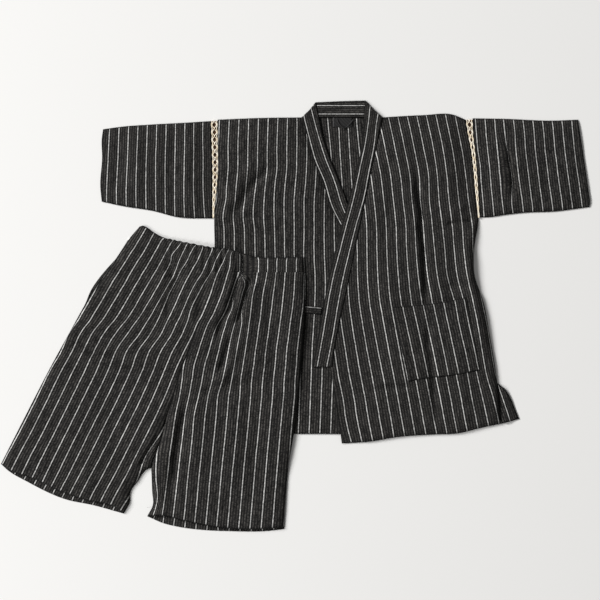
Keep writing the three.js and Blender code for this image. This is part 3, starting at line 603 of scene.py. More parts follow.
# %% Where the sleeves crease
SLEEVE_CREASES = [
    {"marks": [(459, 392), (466, 366), (474, 318), (477, 285), (476, 240)], "width": 4, "rise": -4.5},
    {"marks": [(446, 420), (452, 350), (460, 270)], "width": 12, "rise": 2.4},
    {"marks": [(492, 410), (498, 330), (500, 250)], "width": 13, "rise": 1.6},
    {"marks": [(560, 410), (556, 330), (566, 250)], "width": 15, "rise": -2.6},
    {"marks": [(608, 400), (606, 330), (618, 260)], "width": 14, "rise": 1.8},
    {"marks": [(-262, 424), (-270, 340), (-262, 230)], "width": 14, "rise": -2.6},
    {"marks": [(-352, 406), (-346, 320), (-356, 245)], "width": 15, "rise": 2.2},
    {"marks": [(-390, 400), (-388, 330), (-396, 256)], "width": 11, "rise": -2.2},
    {"marks": [(-215, 230), (-236, 300), (-226, 390)], "width": 12, "rise": 2.0},
]
print("creases in the sleeves:", len(SLEEVE_CREASES))

# %% Where the shorts crease
SHORTS_CREASES = [
    {"marks": [(-117, 97), (-131, 60), (-140, 32), (-150, 5), (-163, -24), (-178, -60)], "width": 5.5,
     "rise": -8.5},
    {"marks": [(-130, 120), (-142, 70), (-153, 40), (-167, 0)], "width": 8, "rise": 3.4},
    {"marks": [(-98, 97), (-105, 60), (-113, 32), (-121, 6), (-129, -30)], "width": 5, "rise": -7.5},
    {"marks": [(-92, 97), (-97, 82), (-104, 64)], "width": 7, "rise": -4.0},
    {"marks": [(-86, 136), (-86, 100), (-90, 66)], "width": 4.5, "rise": -7.0},
    {"marks": [(-114, 144), (-113, 118), (-114, 92)], "width": 4, "rise": -5.5},
    {"marks": [(-104, 142), (-103, 118), (-104, 92)], "width": 3.5, "rise": -4.5},
    {"marks": [(-95, 140), (-94, 118), (-95, 92)], "width": 3.5, "rise": -5.0},
    {"marks": [(-102, 160), (-101, 118), (-102, 74)], "width": 17, "rise": -8.0},
    {"marks": [(-272, 128), (-274, 112), (-282, 94)], "width": 4.5, "rise": -3.6},
    {"marks": [(-264, 118), (-267, 98), (-274, 80)], "width": 4.5, "rise": -3.6},
    {"marks": [(-246, 104), (-262, 60), (-275, 30), (-290, -8)], "width": 9, "rise": -4.6},
    {"marks": [(-284, 110), (-296, 70), (-312, 30)], "width": 11, "rise": 2.4},
    {"marks": [(-156, 132), (-163, 114), (-171, 96)], "width": 4.5, "rise": -3.6},
    {"marks": [(-180, 106), (-190, 86), (-203, 62)], "width": 5, "rise": -3.6},
    {"marks": [(-190, 66), (-208, 25), (-222, -20)], "width": 9, "rise": -3.6},
    {"marks": [(-500, -62), (-443, -79), (-382, -98), (-342, -117), (-290, -130), (-258, -130)], "width": 8,
     "rise": -6.5},
    {"marks": [(-510, 0), (-419, -44), (-364, -62), (-309, -76), (-240, -84)], "width": 13, "rise": 3.6},
    {"marks": [(-500, -36), (-450, -52), (-400, -70)], "width": 7, "rise": -2.6},
    {"marks": [(-210, -174), (-166, -154), (-131, -149), (-50, -143)], "width": 11, "rise": -3.8},
    {"marks": [(-200, -150), (-150, -130), (-90, -124)], "width": 12, "rise": 2.2},
    {"marks": [(-231, -150), (-240, -188), (-250, -240), (-259, -293), (-267, -353), (-276, -430)],
     "width": 10, "rise": -7.0},
    {"marks": [(-134, -30), (-149, -68), (-163, -105), (-176, -136)], "width": 7, "rise": -5.5},
    {"marks": [(-114, -36), (-132, -80), (-156, -130), (-180, -180)], "width": 9, "rise": 3.0},
    {"marks": [(-112, 84), (-122, 45), (-132, 12), (-143, -18)], "width": 5, "rise": 2.6},
    {"marks": [(-82, 84), (-90, 50), (-99, 15), (-110, -20)], "width": 8, "rise": 2.4},
    {"marks": [(-262, -190), (-270, -260), (-284, -350)], "width": 12, "rise": 2.6},
    {"marks": [(-214, -160), (-218, -250), (-226, -350)], "width": 14, "rise": 2.4},
    {"marks": [(-344, -334), (-329, -310), (-314, -289), (-296, -254)], "width": 4, "rise": -8.0},
    {"marks": [(-236, -81), (-250, -150), (-270, -215)], "width": 9, "rise": -3.0},
    {"marks": [(-520, -220), (-480, -300), (-440, -400)], "width": 20, "rise": 2.4},
    {"marks": [(-420, -120), (-400, -220), (-396, -330)], "width": 20, "rise": -2.4},
    {"marks": [(-60, 66), (-52, -60), (-44, -180)], "width": 16, "rise": -2.6},
    {"marks": [(-20, 80), (-14, -40), (-20, -170)], "width": 14, "rise": 2.0},
    {"marks": [(-130, -190), (-140, -300), (-150, -430)], "width": 20, "rise": 2.2},
    {"marks": [(-90, -180), (-90, -300), (-84, -440)], "width": 18, "rise": -2.2},
]
print("creases in the shorts:", len(SHORTS_CREASES))

# %% [markdown]
# The pieces lie on each other, so each one's height starts from what is under it: the back on the table,
# the fronts on the back, the over front on the under front and its collar, and the shorts on the jacket.

# %% Heights of the jacket's layers
BACK_TOP = 1.1
BACK_STACK = 1.6
EDGE_TOP = 2.1
FRONT_REST = 2.6
UNDER_RISE = 2.4
COLLAR_THICK = 2.2
SLEEVE_REST = 1.9
UNDER_PUFF = 5.5
OVER_PUFF = 7.5
SLEEVE_PUFF = 6.0


def over_floor(x, y):
    """What the over front lies on: the back, or the under front with its collar."""
    past = x - at_height(UNDER_REACH, y)
    return BACK_STACK + UNDER_RISE * (1 - soft(past, 12, 62))


def under_top(x, y):
    """The upper surface of the under front: puffed where it is open, flat where the shorts cover it."""
    gap = gap_to(x, y, RIGHT_SIDE, RIGHT_SHOULDER)
    open_air = soft(y, 165, 230) * rolled(np.maximum(at_height(UNDER_SEAM, y) - x - 6, 0), 45)
    rest = EDGE_TOP + (FRONT_REST - EDGE_TOP) * rolled(gap, 7)
    puff = UNDER_PUFF * rolled(gap, 45)
    lift = np.maximum(0, puff + creases(x, y, JACKET_CREASES) + crinkle(x, y, 1))
    return rest + open_air * lift + 0.15 * crinkle(x, y, 1)


def over_top(x, y):
    """The upper surface of the over front: puffed over its free part, pressed down along its band."""
    free = soft(x - at_height(UNDER_REACH, y), -40, 60)
    gap = gap_to(x, y, LEFT_SIDE, LEFT_SHOULDER, OVER_HEM)
    from_band = rolled(np.maximum(x - at_height(OVER_EDGE, y) - 4, 0), 30)
    rest = EDGE_TOP + (over_floor(x, y) + 1.0 + 0.6 * (1 - from_band) - EDGE_TOP) * rolled(gap, 7)
    armhole = soft(y, 190, 240)
    cushion = rolled(gap, 14) * (1 - armhole) + soft(gap, 0, 60) * armhole
    lift = np.maximum(0, OVER_PUFF * cushion * free + creases(x, y, JACKET_CREASES) + crinkle(x, y, 2))
    return rest + rolled(gap, 8) * lift * from_band * (0.3 + 0.7 * free)


def sleeve_top(x, y, sleeve):
    """The upper surface of a sleeve: puffed in the middle, lower at the cuff and lowest at the armhole."""
    armhole, cuff = sleeve["left"], sleeve["right"]
    if sleeve is RIGHT_SLEEVE:
        armhole, cuff = cuff, armhole
    gap = gap_to(x, y, sleeve["top"], sleeve["bottom"])
    puff = SLEEVE_PUFF * rolled(gap, 28) * (0.15 + 0.85 * soft(gap_to(x, y, armhole), 0, 55))
    puff = puff * (0.2 + 0.8 * soft(gap_to(x, y, cuff), 0, 80))
    lift = np.maximum(0, puff + creases(x, y, SLEEVE_CREASES) + crinkle(x, y, 3))
    return SLEEVE_REST + rolled(gap, 8) * lift


print("top of the over collar, about:", round(BACK_STACK + UNDER_RISE + COLLAR_THICK, 1), "mm")


# %% Heights of the shorts' layers
DROP_FROM = -25
DROP_TO = -105
JACKET_STACK = 3.4
GATHERS_FROM = -292
GATHERS_TO = -83
GATHER_PITCH = 13.9
TIE_MIDDLE_Y = 18
TIE_HALF_WIDTH = 15
TIE_END_X = -74
TIE_LIFT = 1.4
SHORTS_PUFF = 6.5
RUFFLE = 3.4
SEAM_GROOVE = 0.7


def shorts_floor(x, y):
    """What the shorts lie on: the jacket and its tie, or the table."""
    past = np.minimum(x - at_height(RIGHT_SIDE, y), y - UNDER_HEM[0][1])
    from_tie = np.maximum(np.abs(y - TIE_MIDDLE_Y) - TIE_HALF_WIDTH, TIE_END_X - x)
    return soft(past, DROP_TO, DROP_FROM) * (JACKET_STACK + TIE_LIFT * (1 - soft(from_tie, 25, 105)))


def gathers(x, y):
    """The waves that the elastic draws into the cloth, from 0 to 1, uneven in place and depth."""
    drawn_in = soft(x, GATHERS_FROM - 18, GATHERS_FROM + 20) * (1 - soft(x, GATHERS_TO - 14, GATHERS_TO + 22))
    phase = x / GATHER_PITCH + 0.45 * hills(x, y * 0.2, 26, 6)
    depth = 0.65 + 0.35 * hills(x, y * 0.3, 31, 7)
    return drawn_in * depth * (0.5 + 0.5 * np.cos(TURN * phase))


def shorts_top(x, y):
    """The upper surface of the legs and the waist casing, one soft cushion of cloth over both legs."""
    outer = gap_to(x, y, RIGHT_OUTSEAM, LEFT_OUTSEAM, WAIST_LEFT_END, WAIST_RIGHT_END)
    inner = gap_to(x, y, CENTRE_SEAM, RIGHT_INSEAM, LEFT_INSEAM) + 60 * soft(y, -230, -60)
    at_waist = gap_to(x, y, WAIST_TOP)
    from_waist = gap_to(x, y, RIGHT_WAIST, LEFT_WAIST)
    gap = np.minimum(outer, inner)
    puff = SHORTS_PUFF * rolled(gap, 26) * (0.35 + 0.65 * rolled(at_waist, 14))
    below = y < np.interp(x, CASING_SEAM[:, 0], CASING_SEAM[:, 1])
    spent = np.where(below, 0.6 * np.exp(-from_waist / 30), 0.5 + 0.5 * np.exp(-at_waist / 9))
    ruffle = RUFFLE * gathers(x, y) * spent
    groove = -SEAM_GROOVE * np.exp(-((from_waist / 2) ** 2))
    dent = creases(x, y, SHORTS_CREASES) + crinkle(x, y, 4)
    lift = np.maximum(0, puff + ruffle + groove + dent)
    hem = 0.5 + 0.5 * rolled(gap_to(x, y, RIGHT_HEM, LEFT_HEM), 5)
    return shorts_floor(x, y) + EDGE_TOP + 0.4 * rolled(gap, 6) + rolled(gap, 9) * lift * hem


print("gathers at the waist:", round((GATHERS_TO - GATHERS_FROM) / GATHER_PITCH))


# %% [markdown]
# Materials. A small function sets up each node: its settings by name, and its links from other nodes.
# Colours are written as a painter would read them from a screen, and turned to linear light once.

# %% Colours and nodes
def linear(hex_colour):
    """An sRGB hex colour as linear red, green, blue and 1."""
    parts = [int(hex_colour[k:k + 2], 16) / 255 for k in (1, 3, 5)]
    return (*[p / 12.92 if p <= 0.04045 else ((p + 0.055) / 1.055) ** 2.4 for p in parts], 1.0)


def add_node(tree, kind, settings=None, links=None):
    """Adds a node to a tree, with its properties or sockets set and its inputs linked."""
    node = tree.nodes.new(kind)
    for key, value in (settings or {}).items():
        if isinstance(key, str) and hasattr(node, key):
            setattr(node, key, value)
        else:
            node.inputs[key].default_value = value
    for key, source in (links or {}).items():
        tree.links.new(source, node.inputs[key])
    return node


def new_material(name):
    """A material with an empty node tree, and that tree."""
    material = bpy.data.materials.new(name)
    material.use_nodes = True
    material.node_tree.nodes.clear()
    return material, material.node_tree


def bands(node, stops):
    """Sets a colour ramp's stops, from a list of places and colours."""
    ramp = node.color_ramp
    while len(ramp.elements) < len(stops):
        ramp.elements.new(0.5)
    for element, (place, colour) in zip(ramp.elements, stops):
        element.position = place
        element.color = colour
    return node


print("a mid grey in linear light:", round(linear("#808080")[0], 3))


# %% [markdown]
# Crinkled striped cotton. The yarn is dyed before weaving, charcoal with a light grey stripe about every
# 21 mm and faint pin lines between, and the warp is let in at two tensions so that the cloth puckers when
# it is washed. The eye gets a matt, slightly dusty black, stripes whose edges are broken by the weft, a
# pebbled surface, and a painted shade along each pressed edge, standing in for the shade where the cloth
# turns away from the light.
# It could be an image of cloth, but drawing it from the stripe count keeps every stripe unbroken along
# its thread. Thread is too fine to show at this distance, so streaks and specks are drawn at 2 to 3 mm.

# %% Crinkled striped cotton
REPEAT = 21.0
STRIPE_WIDTH = 1.7
PINS_IN_REPEAT = 4
STREAK_WIDTH = 2.4
SPECK_SIZE = 3.0
PUCKER_SIZE = 6.0
SWAY_SIZE = 14.0
BEAD_SIZE = 4.5
EDGE_SHADE_WIDTH = 3.4
GREY = "#D0CFCC"
CHARCOAL = "#1C1B1B"
PIN_GREY = "#464441"


def striped_cotton():
    """The cotton, drawn from the four numbers that every point of a piece carries."""
    material, tree = new_material("crinkled_striped_cotton")
    weave = add_node(tree, "ShaderNodeAttribute", {"attribute_name": "cloth"})
    mm = add_node(tree, "ShaderNodeVectorMath", {"operation": "MULTIPLY", 1: (REPEAT, 1000, 200)},
                  {0: weave.outputs["Vector"]})
    place = add_node(tree, "ShaderNodeSeparateXYZ", links={0: weave.outputs["Vector"]})
    sway = add_node(tree, "ShaderNodeTexNoise", {"Scale": 1 / SWAY_SIZE, "Detail": 2.0},
                    {"Vector": mm.outputs[0]})
    nudge = add_node(tree, "ShaderNodeMath", {"operation": "MULTIPLY_ADD", 1: 0.06, 2: -0.03},
                     {0: sway.outputs[0]})
    count = add_node(tree, "ShaderNodeMath", {"operation": "ADD"},
                     {0: place.outputs["X"], 1: nudge.outputs[0]})
    streak_place = add_node(tree, "ShaderNodeVectorMath", {"operation": "MULTIPLY", 1: (1.0, 0.1, 1.0)},
                            {0: mm.outputs[0]})
    streaks = add_node(tree, "ShaderNodeTexNoise", {"Scale": 1 / STREAK_WIDTH, "Detail": 2.0},
                       {"Vector": streak_place.outputs[0]})
    specks = add_node(tree, "ShaderNodeTexNoise", {"Scale": 1 / SPECK_SIZE, "Detail": 3.0, "Roughness": 0.7},
                      {"Vector": mm.outputs[0]})
    pins = add_node(tree, "ShaderNodeMath", {"operation": "MULTIPLY", 1: float(PINS_IN_REPEAT)},
                    {0: count.outputs[0]})
    from_pin = add_node(tree, "ShaderNodeMath", {"operation": "PINGPONG", 1: 0.5}, {0: pins.outputs[0]})
    pin = add_node(tree, "ShaderNodeMapRange",
                   {"interpolation_type": "SMOOTHSTEP", "From Min": 0.06, "From Max": 0.4, "To Min": 1.0,
                    "To Max": 0.0},
                   {"Value": from_pin.outputs[0]})
    broken = add_node(tree, "ShaderNodeMapRange",
                      {"From Min": 0.36, "From Max": 0.62, "To Min": 0.1, "To Max": 1.0},
                      {"Value": specks.outputs[0]})
    pin_share = add_node(tree, "ShaderNodeMath", {"operation": "MULTIPLY"},
                         {0: pin.outputs[0], 1: broken.outputs[0]})
    ground = add_node(tree, "ShaderNodeMix", {"data_type": "RGBA", 6: linear(CHARCOAL), 7: linear(PIN_GREY)},
                      {0: pin_share.outputs[0]})
    from_stripe = add_node(tree, "ShaderNodeMath", {"operation": "PINGPONG", 1: 0.5}, {0: count.outputs[0]})
    half = STRIPE_WIDTH / REPEAT / 2
    beside = add_node(tree, "ShaderNodeMapRange",
                      {"From Min": half * 1.5, "From Max": half * 3.6, "To Min": 0.35, "To Max": 1.0},
                      {"Value": from_stripe.outputs[0]})
    stripe = bands(add_node(tree, "ShaderNodeValToRGB", links={0: from_stripe.outputs[0]}),
                   [(half * 0.75, (1, 1, 1, 1)), (half * 1.25, (0, 0, 0, 1))])
    bead_place = add_node(tree, "ShaderNodeVectorMath", {"operation": "MULTIPLY", 1: (0.3, 1.0, 1.0)},
                          {0: mm.outputs[0]})
    beads = add_node(tree, "ShaderNodeTexNoise", {"Scale": 1 / BEAD_SIZE, "Detail": 2.0},
                     {"Vector": bead_place.outputs[0]})
    worn = add_node(tree, "ShaderNodeMapRange",
                    {"From Min": 0.36, "From Max": 0.6, "To Min": 0.5, "To Max": 1.0},
                    {"Value": beads.outputs[0]})
    stripe_share = add_node(tree, "ShaderNodeMath", {"operation": "MULTIPLY"},
                            {0: stripe.outputs[0], 1: worn.outputs[0]})
    grain = add_node(tree, "ShaderNodeMath", {"operation": "ADD"},
                     {0: streaks.outputs[0], 1: specks.outputs[0]})
    shade = add_node(tree, "ShaderNodeMapRange",
                     {"From Min": 0.7, "From Max": 1.3, "To Min": 0.22, "To Max": 1.72},
                     {"Value": grain.outputs[0]})
    tone = add_node(tree, "ShaderNodeMath", {"operation": "MULTIPLY"},
                    {0: shade.outputs[0], 1: beside.outputs[0]})
    toned = add_node(tree, "ShaderNodeVectorMath", {"operation": "SCALE"},
                     {0: ground.outputs[2], "Scale": tone.outputs[0]})
    striped = add_node(tree, "ShaderNodeMix", {"data_type": "RGBA", 7: linear(GREY)},
                       {0: stripe_share.outputs[0], 6: toned.outputs[0]})
    # Painted shade: the colour darkens within a few millimetres of each piece's free edges, for the shade
    # where the cloth turns away from the light
    edge = add_node(tree, "ShaderNodeAttribute", {"attribute_name": "edge"})
    painted_edge_shade = add_node(tree, "ShaderNodeMapRange",
                       {"From Min": 0.9, "From Max": EDGE_SHADE_WIDTH, "To Min": 0.15, "To Max": 1.0},
                       {"Value": edge.outputs["Fac"]})
    colour = add_node(tree, "ShaderNodeVectorMath", {"operation": "SCALE"},
                      {0: striped.outputs[2], "Scale": painted_edge_shade.outputs[0]})
    pucker_place = add_node(tree, "ShaderNodeVectorMath", {"operation": "MULTIPLY", 1: (1.0, 0.5, 1.0)},
                            {0: mm.outputs[0]})
    puckers = add_node(tree, "ShaderNodeTexNoise", {"Scale": 1 / PUCKER_SIZE, "Detail": 2.5},
                       {"Vector": pucker_place.outputs[0]})
    pebbles = add_node(tree, "ShaderNodeBump", {"Strength": 0.6, "Distance": 0.0006},
                       {"Height": specks.outputs[0]})
    surface = add_node(tree, "ShaderNodeBump", {"Strength": 0.8, "Distance": 0.0018},
                       {"Height": puckers.outputs[0], "Normal": pebbles.outputs[0]})
    yarn = add_node(tree, "ShaderNodeBsdfPrincipled",
                    {"Roughness": 0.95, "IOR": 1.5, "Specular IOR Level": 0.12, "Sheen Weight": 0.03,
                     "Sheen Roughness": 0.6},
                    {"Base Color": colour.outputs[0], "Normal": surface.outputs[0]})
    add_node(tree, "ShaderNodeOutputMaterial", links={0: yarn.outputs[0]})
    return material


COTTON = striped_cotton()
print("cotton nodes:", len(COTTON.node_tree.nodes))


# %% [markdown]
# Cream lace, black satin ribbon, black braided cord and sewing thread. The lace is crocheted of combed
# cotton cord: pale and soft, with painted light and shade along the twist of its plies. Its back layer
# lies in the shade of the front one, and through the rings the eye sees brown there, so that layer is
# coloured in a painted shade brown. Ribbon is woven flat with a faint shine, the cord and thread are spun
# polyester, a little glossier than the cloth. One function makes them all, because each is a yarn with a
# lit and a shaded colour painted along its twist and its fluff. Real twists are too fine to show at this
# distance, so they are drawn about twelve times as long.

# %% Lace, ribbon, cord and thread
# A wave texture on the diagonal turns ten radians in a unit, so 20 makes a band about twelve twists long
BAND_STRETCH = 20
FLUFF_SCALE = 700.0


def yarn_material(name, light, dark, twist, roughness, sheen):
    """A yarn painted lit and shaded along its twist, as its bump is. Its real twist is in millimetres."""
    material, tree = new_material(name)
    place = add_node(tree, "ShaderNodeTexCoord")
    twisted = add_node(tree, "ShaderNodeTexWave",
                       {"wave_type": "BANDS", "bands_direction": "DIAGONAL",
                        "Scale": 1 / (twist * MM) / BAND_STRETCH, "Distortion": 1.5, "Detail": 2.0},
                       {"Vector": place.outputs["Object"]})
    fluff = add_node(tree, "ShaderNodeTexNoise", {"Scale": FLUFF_SCALE, "Detail": 3.0},
                     {"Vector": place.outputs["Object"]})
    height = add_node(tree, "ShaderNodeMath", {"operation": "MULTIPLY_ADD", 1: 0.5},
                      {0: fluff.outputs[0], 2: twisted.outputs[1]})
    # Painted light and shade: the lit colour on the twist's crests and the shaded one in its grooves
    colour = add_node(tree, "ShaderNodeMix", {"data_type": "RGBA", 6: linear(dark), 7: linear(light)},
                      {0: height.outputs[0]})
    bump = add_node(tree, "ShaderNodeBump", {"Strength": 0.6, "Distance": 0.0004},
                    {"Height": height.outputs[0]})
    shader = add_node(tree, "ShaderNodeBsdfPrincipled",
                      {"Roughness": roughness, "IOR": 1.5, "Sheen Weight": sheen},
                      {"Base Color": colour.outputs[2], "Normal": bump.outputs[0]})
    add_node(tree, "ShaderNodeOutputMaterial", links={0: shader.outputs[0]})
    return material


LACE = yarn_material("crocheted_cream_cotton", "#FBF2E0", "#E8D5B4", twist=1.6, roughness=0.85, sheen=0.2)
# The back lace's brown is painted shade: the cream lace beneath lies in the shade of the front layer
PAINTED_SHADE_LACE = yarn_material("painted_shade_back_lace", "#6E5038", "#3C2A1C", twist=1.6, roughness=0.9, sheen=0.0)
RIBBON = yarn_material("woven_black_satin_ribbon", "#1E1D1D", "#131212", twist=0.6, roughness=0.5, sheen=0.0)
CORD = yarn_material("braided_black_polyester_cord", "#1C1B1B", "#0E0D0D",
                     twist=1.4, roughness=0.6, sheen=0.05)
THREAD = yarn_material("spun_black_polyester_thread", "#2B2A29", "#1A1919",
                       twist=0.5, roughness=0.65, sheen=0.05)
print("nodes in each yarn:", len(THREAD.node_tree.nodes))


# %% [markdown]
# Each finished piece gets its material, rides on the set's one body, and hides the plain solid it stands
# for. Measured here from its own net.

# %% Finishing a piece
EDGE_REACH = 50
cuts_woven = 0


def woven(count, x, y, *edges, along=None):
    """Numbers of each point: stripe count, metres along the thread, number of the cut, edge distance."""
    global cuts_woven
    cuts_woven += 1
    run = -y if along is None else along
    edge = np.minimum(gap_to(x, y, *edges), EDGE_REACH).ravel()
    return np.column_stack([count.ravel(), run.ravel() * MM, np.full(x.size, float(cuts_woven)), edge])


def weave_of(chart, x, y, *edges):
    """The same for a piece whose thread runs down the garment, with its stripes counted from a chart."""
    return woven(stripe_count(chart, x, y), x, y, *edges)


def finished(piece, material, nodes=()):
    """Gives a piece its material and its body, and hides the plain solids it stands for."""
    piece.data.materials.append(material)
    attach(piece, "root")
    if nodes:
        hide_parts(*nodes)
    return piece


# %% [markdown]
# The jacket's body. The back is one flat cut. Both fronts lie on it: the wearer's right front passes
# under, the left front lies over it and carries the patch pocket. Layers could be set apart by a fixed
# height, but the over front and the pocket are made from the heights of what they lie on, so that they
# can't sink in.

# %% Back of the jacket
FLAP_LIFT = 0.8
FLAP_SLOPE = 3.0

x, y = spread(
    np.vstack([RIGHT_SHOULDER, NECK_SEAM[1:-1], LEFT_SHOULDER]), BACK_HEM, RIGHT_SIDE, FLAP_SIDE, cell=6,
)
past_side = x - at_height(LEFT_SIDE, y)
flap = soft(past_side, 0, 12)
in_neck = soft(y, 210, 300) * rolled(np.clip(x - at_height(UNDER_LEAD, y), 0, 30), 30)
flap_rise = FLAP_LIFT + FLAP_SLOPE * (1 - soft(past_side, 10, 36)) + 0.5 * crinkle(x, y, 8)
top = BACK_TOP + flap * flap_rise + 0.2 * in_neck * crinkle(x, y, 8)
back_weave = weave_of(BACK_STRIPES, x, y, FLAP_SIDE, BACK_HEM)
jacket_body = finished(shell("back_panel", x, y, top, back_weave), COTTON, ["jacket_back"])

# %% Under front
x, y = spread(RIGHT_SHOULDER, UNDER_HEM, RIGHT_SIDE, UNDER_EDGE)
under_weave = weave_of(UNDER_STRIPES, x, y, RIGHT_SIDE, RIGHT_SHOULDER, UNDER_HEM)
under = shell("under_front", x, y, under_top(x, y), under_weave)
finished(under, COTTON, ["jacket_front_under"])

# %% Over front
OPEN_OVER_EDGE = OVER_EDGE[-18:]
x, y = spread(LEFT_SHOULDER, OVER_HEM, OVER_EDGE, LEFT_SIDE)
over_weave = weave_of(OVER_STRIPES, x, y, LEFT_SIDE, LEFT_SHOULDER, OVER_HEM, OPEN_OVER_EDGE)
over = shell("over_front", x, y, over_top(x, y), over_weave)
finished(over, COTTON, ["jacket_front_over"])

# %% Patch pocket, made from the over front's own heights
MOUTH_GAPE = 3.6
POCKET_REST = 0.25
SLIP_TOP = 1.5
SLIP_BELOW = 4.0

x, y = spread(**POCKET)
gap = gap_to(x, y, *POCKET.values())
sewn = gap_to(x, y, POCKET["left"], POCKET["right"], POCKET["bottom"])
mouth = gap_to(x, y, POCKET["top"])
beside_right = rolled(gap_to(x, y, POCKET["right"]), 14)
top = over_top(x, y) + POCKET_REST + CLOTH * beside_right + 0.5 * rolled(gap, 5) + 0.7 * rolled(sewn, 40)
top = top + MOUTH_GAPE * rolled(sewn, 40) * np.exp(-mouth / 12)
# The pocket's stripes lie a little beside the front's, and more so lower down
slip = SLIP_TOP + SLIP_BELOW * soft(30 - y, 0, 170)
pocket_weave = woven(stripe_count(OVER_STRIPES, x - slip, y), x, y, POCKET["top"], POCKET["bottom"])
pocket = shell("front_pocket", x, y, top, pocket_weave)
finished(pocket, COTTON, ["patch_pocket"])

# %% [markdown]
# The collar is one long band, folded double and sewn to the neck and down both fronts. Its fold makes a
# soft round edge inside, and its seam sinks in. Two stripes run along it, because it is cut along the
# cloth. It could be one long sheet bent round the neck, but its three stretches lie at three heights, so
# each is made on its own.

# %% Collar band
LAP = 3.5
BAND_CELL = 3
BAND_CLOTH = 1.4
NECK_LIFT = 0.9
UNDER_BAND_REST = 1.9
OVER_BAND_GAP = 0.5
NECK_BAND_REST = 1.25
NECK_STRIPE_Y = (444.5, 463)


def collar_band(name, node, x, y, floor, seam, fold, weave):
    """One stretch of the doubled band, rounded at its fold and sunk at its seam."""
    round_fold = rolled(gap_to(x, y, fold), 6)
    sunk_seam = rolled(gap_to(x, y, seam), 4)
    doubled = COLLAR_THICK * (0.45 + 0.55 * round_fold) * (0.72 + 0.28 * sunk_seam)
    top = floor + doubled + 0.35 * crinkle(x, y, 5)
    band = finished(shell(name, x, y, top, weave, BAND_CLOTH), COTTON, [node])


under_lap, over_lap = UNDER_SEAM - [LAP, 0], OVER_SEAM + [LAP * 0.6, 0]
x, y = spread(np.array([under_lap[0], UNDER_LEAD[0]]), np.array([under_lap[-1], UNDER_LEAD[-1]]),
              under_lap, UNDER_LEAD, cell=BAND_CELL)
band_weave = weave_of(UNDER_COLLAR_STRIPES, x, y, under_lap, UNDER_LEAD)
floor = UNDER_BAND_REST + NECK_LIFT * soft(y, 380, 425)
collar_band("under_collar", "collar_under", x, y, floor, under_lap, UNDER_LEAD, band_weave)

x, y = spread(np.array([OVER_LEAD[0], over_lap[0]]), np.array([OVER_LEAD[-1], over_lap[-1]]),
              OVER_LEAD, over_lap, cell=BAND_CELL)
band_weave = weave_of(OVER_COLLAR_STRIPES, x, y, over_lap, OVER_LEAD)
floor = over_floor(x, y) + OVER_BAND_GAP + NECK_LIFT * soft(y, 380, 425)
collar_band("over_collar", "collar_over", x, y, floor, over_lap, OVER_LEAD, band_weave)

x, y = spread(NECK_TOP, NECK_SEAM, np.array([NECK_TOP[0], NECK_SEAM[0]]),
              np.array([NECK_TOP[-1], NECK_SEAM[-1]]), cell=BAND_CELL)
count = (y - NECK_STRIPE_Y[0]) / (NECK_STRIPE_Y[1] - NECK_STRIPE_Y[0])
band_weave = woven(count, x, y, NECK_SEAM, NECK_TOP, along=x)
collar_band("neck_band", "collar_neck", x, y, NECK_BAND_REST, NECK_SEAM, NECK_TOP, band_weave)

# %% [markdown]
# The tie comes out from under the over collar and runs beneath the shorts. It is a narrow strip turned
# inside out, with one light stripe near its upper edge. It could be a swept cord, but it lies flat as a
# ribbon does.

# %% Tie
TIE_TOP = 4.1
TIE_STRIPE_DROP = 2.3

x, y = spread(**TIE, cell=BAND_CELL)
gap = gap_to(x, y, TIE["top"], TIE["bottom"])
top = TIE_TOP + 0.7 * rolled(gap, 4) + 0.2 * crinkle(x, y, 9)
drop = np.interp(x, TIE["top"][:, 0], TIE["top"][:, 1]) - y
tie_weave = woven((drop - TIE_STRIPE_DROP) / REPEAT, x, y, TIE["top"], TIE["bottom"], TIE["right"], along=x)
tie = finished(shell("outer_tie", x, y, top, tie_weave), COTTON, ["tie"])

# %% [markdown]
# The sleeves are short tubes, folded along the top and sewn below. They lie on the table, a little
# puffed, with a long soft fold down the wearer's left one.

# %% Sleeves
for name, node, edges, chart in (
    ("right_sleeve", "sleeve_right", RIGHT_SLEEVE, RIGHT_SLEEVE_STRIPES),
    ("left_sleeve", "sleeve_left", LEFT_SLEEVE, LEFT_SLEEVE_STRIPES),
):
    x, y = spread(**edges)
    sleeve_weave = weave_of(chart, x, y, *edges.values())
    sleeve = tube(name, x, y, sleeve_top(x, y, edges), np.full(x.shape, FLOOR_GAP), sleeve_weave)
    finished(sleeve, COTTON, [node])

# %% [markdown]
# Shorts. The back walls of the legs lie on the jacket and the table, and the front walls puff up over
# them. Below the elastic waist the gathers run out into the cloth, and creases from packing cross both
# legs.

# %% Legs of the shorts
LEG_CHART_BELOW = -25
WAIST_CHART_ABOVE = 5
FIRST_LEFT_STRIPE = 10


def leg_count(chart, first, x, y):
    """Stripe count of a leg: its own chart below, run into the waist's chart above."""
    high = soft(y, LEG_CHART_BELOW, WAIST_CHART_ABOVE)
    return (stripe_count(chart, x, y) + first) * (1 - high) + stripe_count(WAIST_STRIPES, x, y) * high


def leg(name, node, edges, chart, first, heights, shift=0.0):
    """One wall of a leg. shift moves its stripes sideways from the front's, as a back cut apart has them."""
    x, y = spread(**edges)
    free = edges["bottom"], RIGHT_OUTSEAM, RIGHT_INSEAM, LEFT_INSEAM, LEFT_OUTSEAM
    leg_weave = woven(leg_count(chart, first, x - shift, y), x, y, *free)
    wall = shell(name, x, y, heights(x, y), leg_weave)
    finished(wall, COTTON, [node])


def shorts_back_top(x, y):
    """The upper surface of the back walls, flat on what is under them."""
    return shorts_floor(x, y) + CLOTH + FLOOR_GAP + 0.1 * (1 + crinkle(x, y, 6))


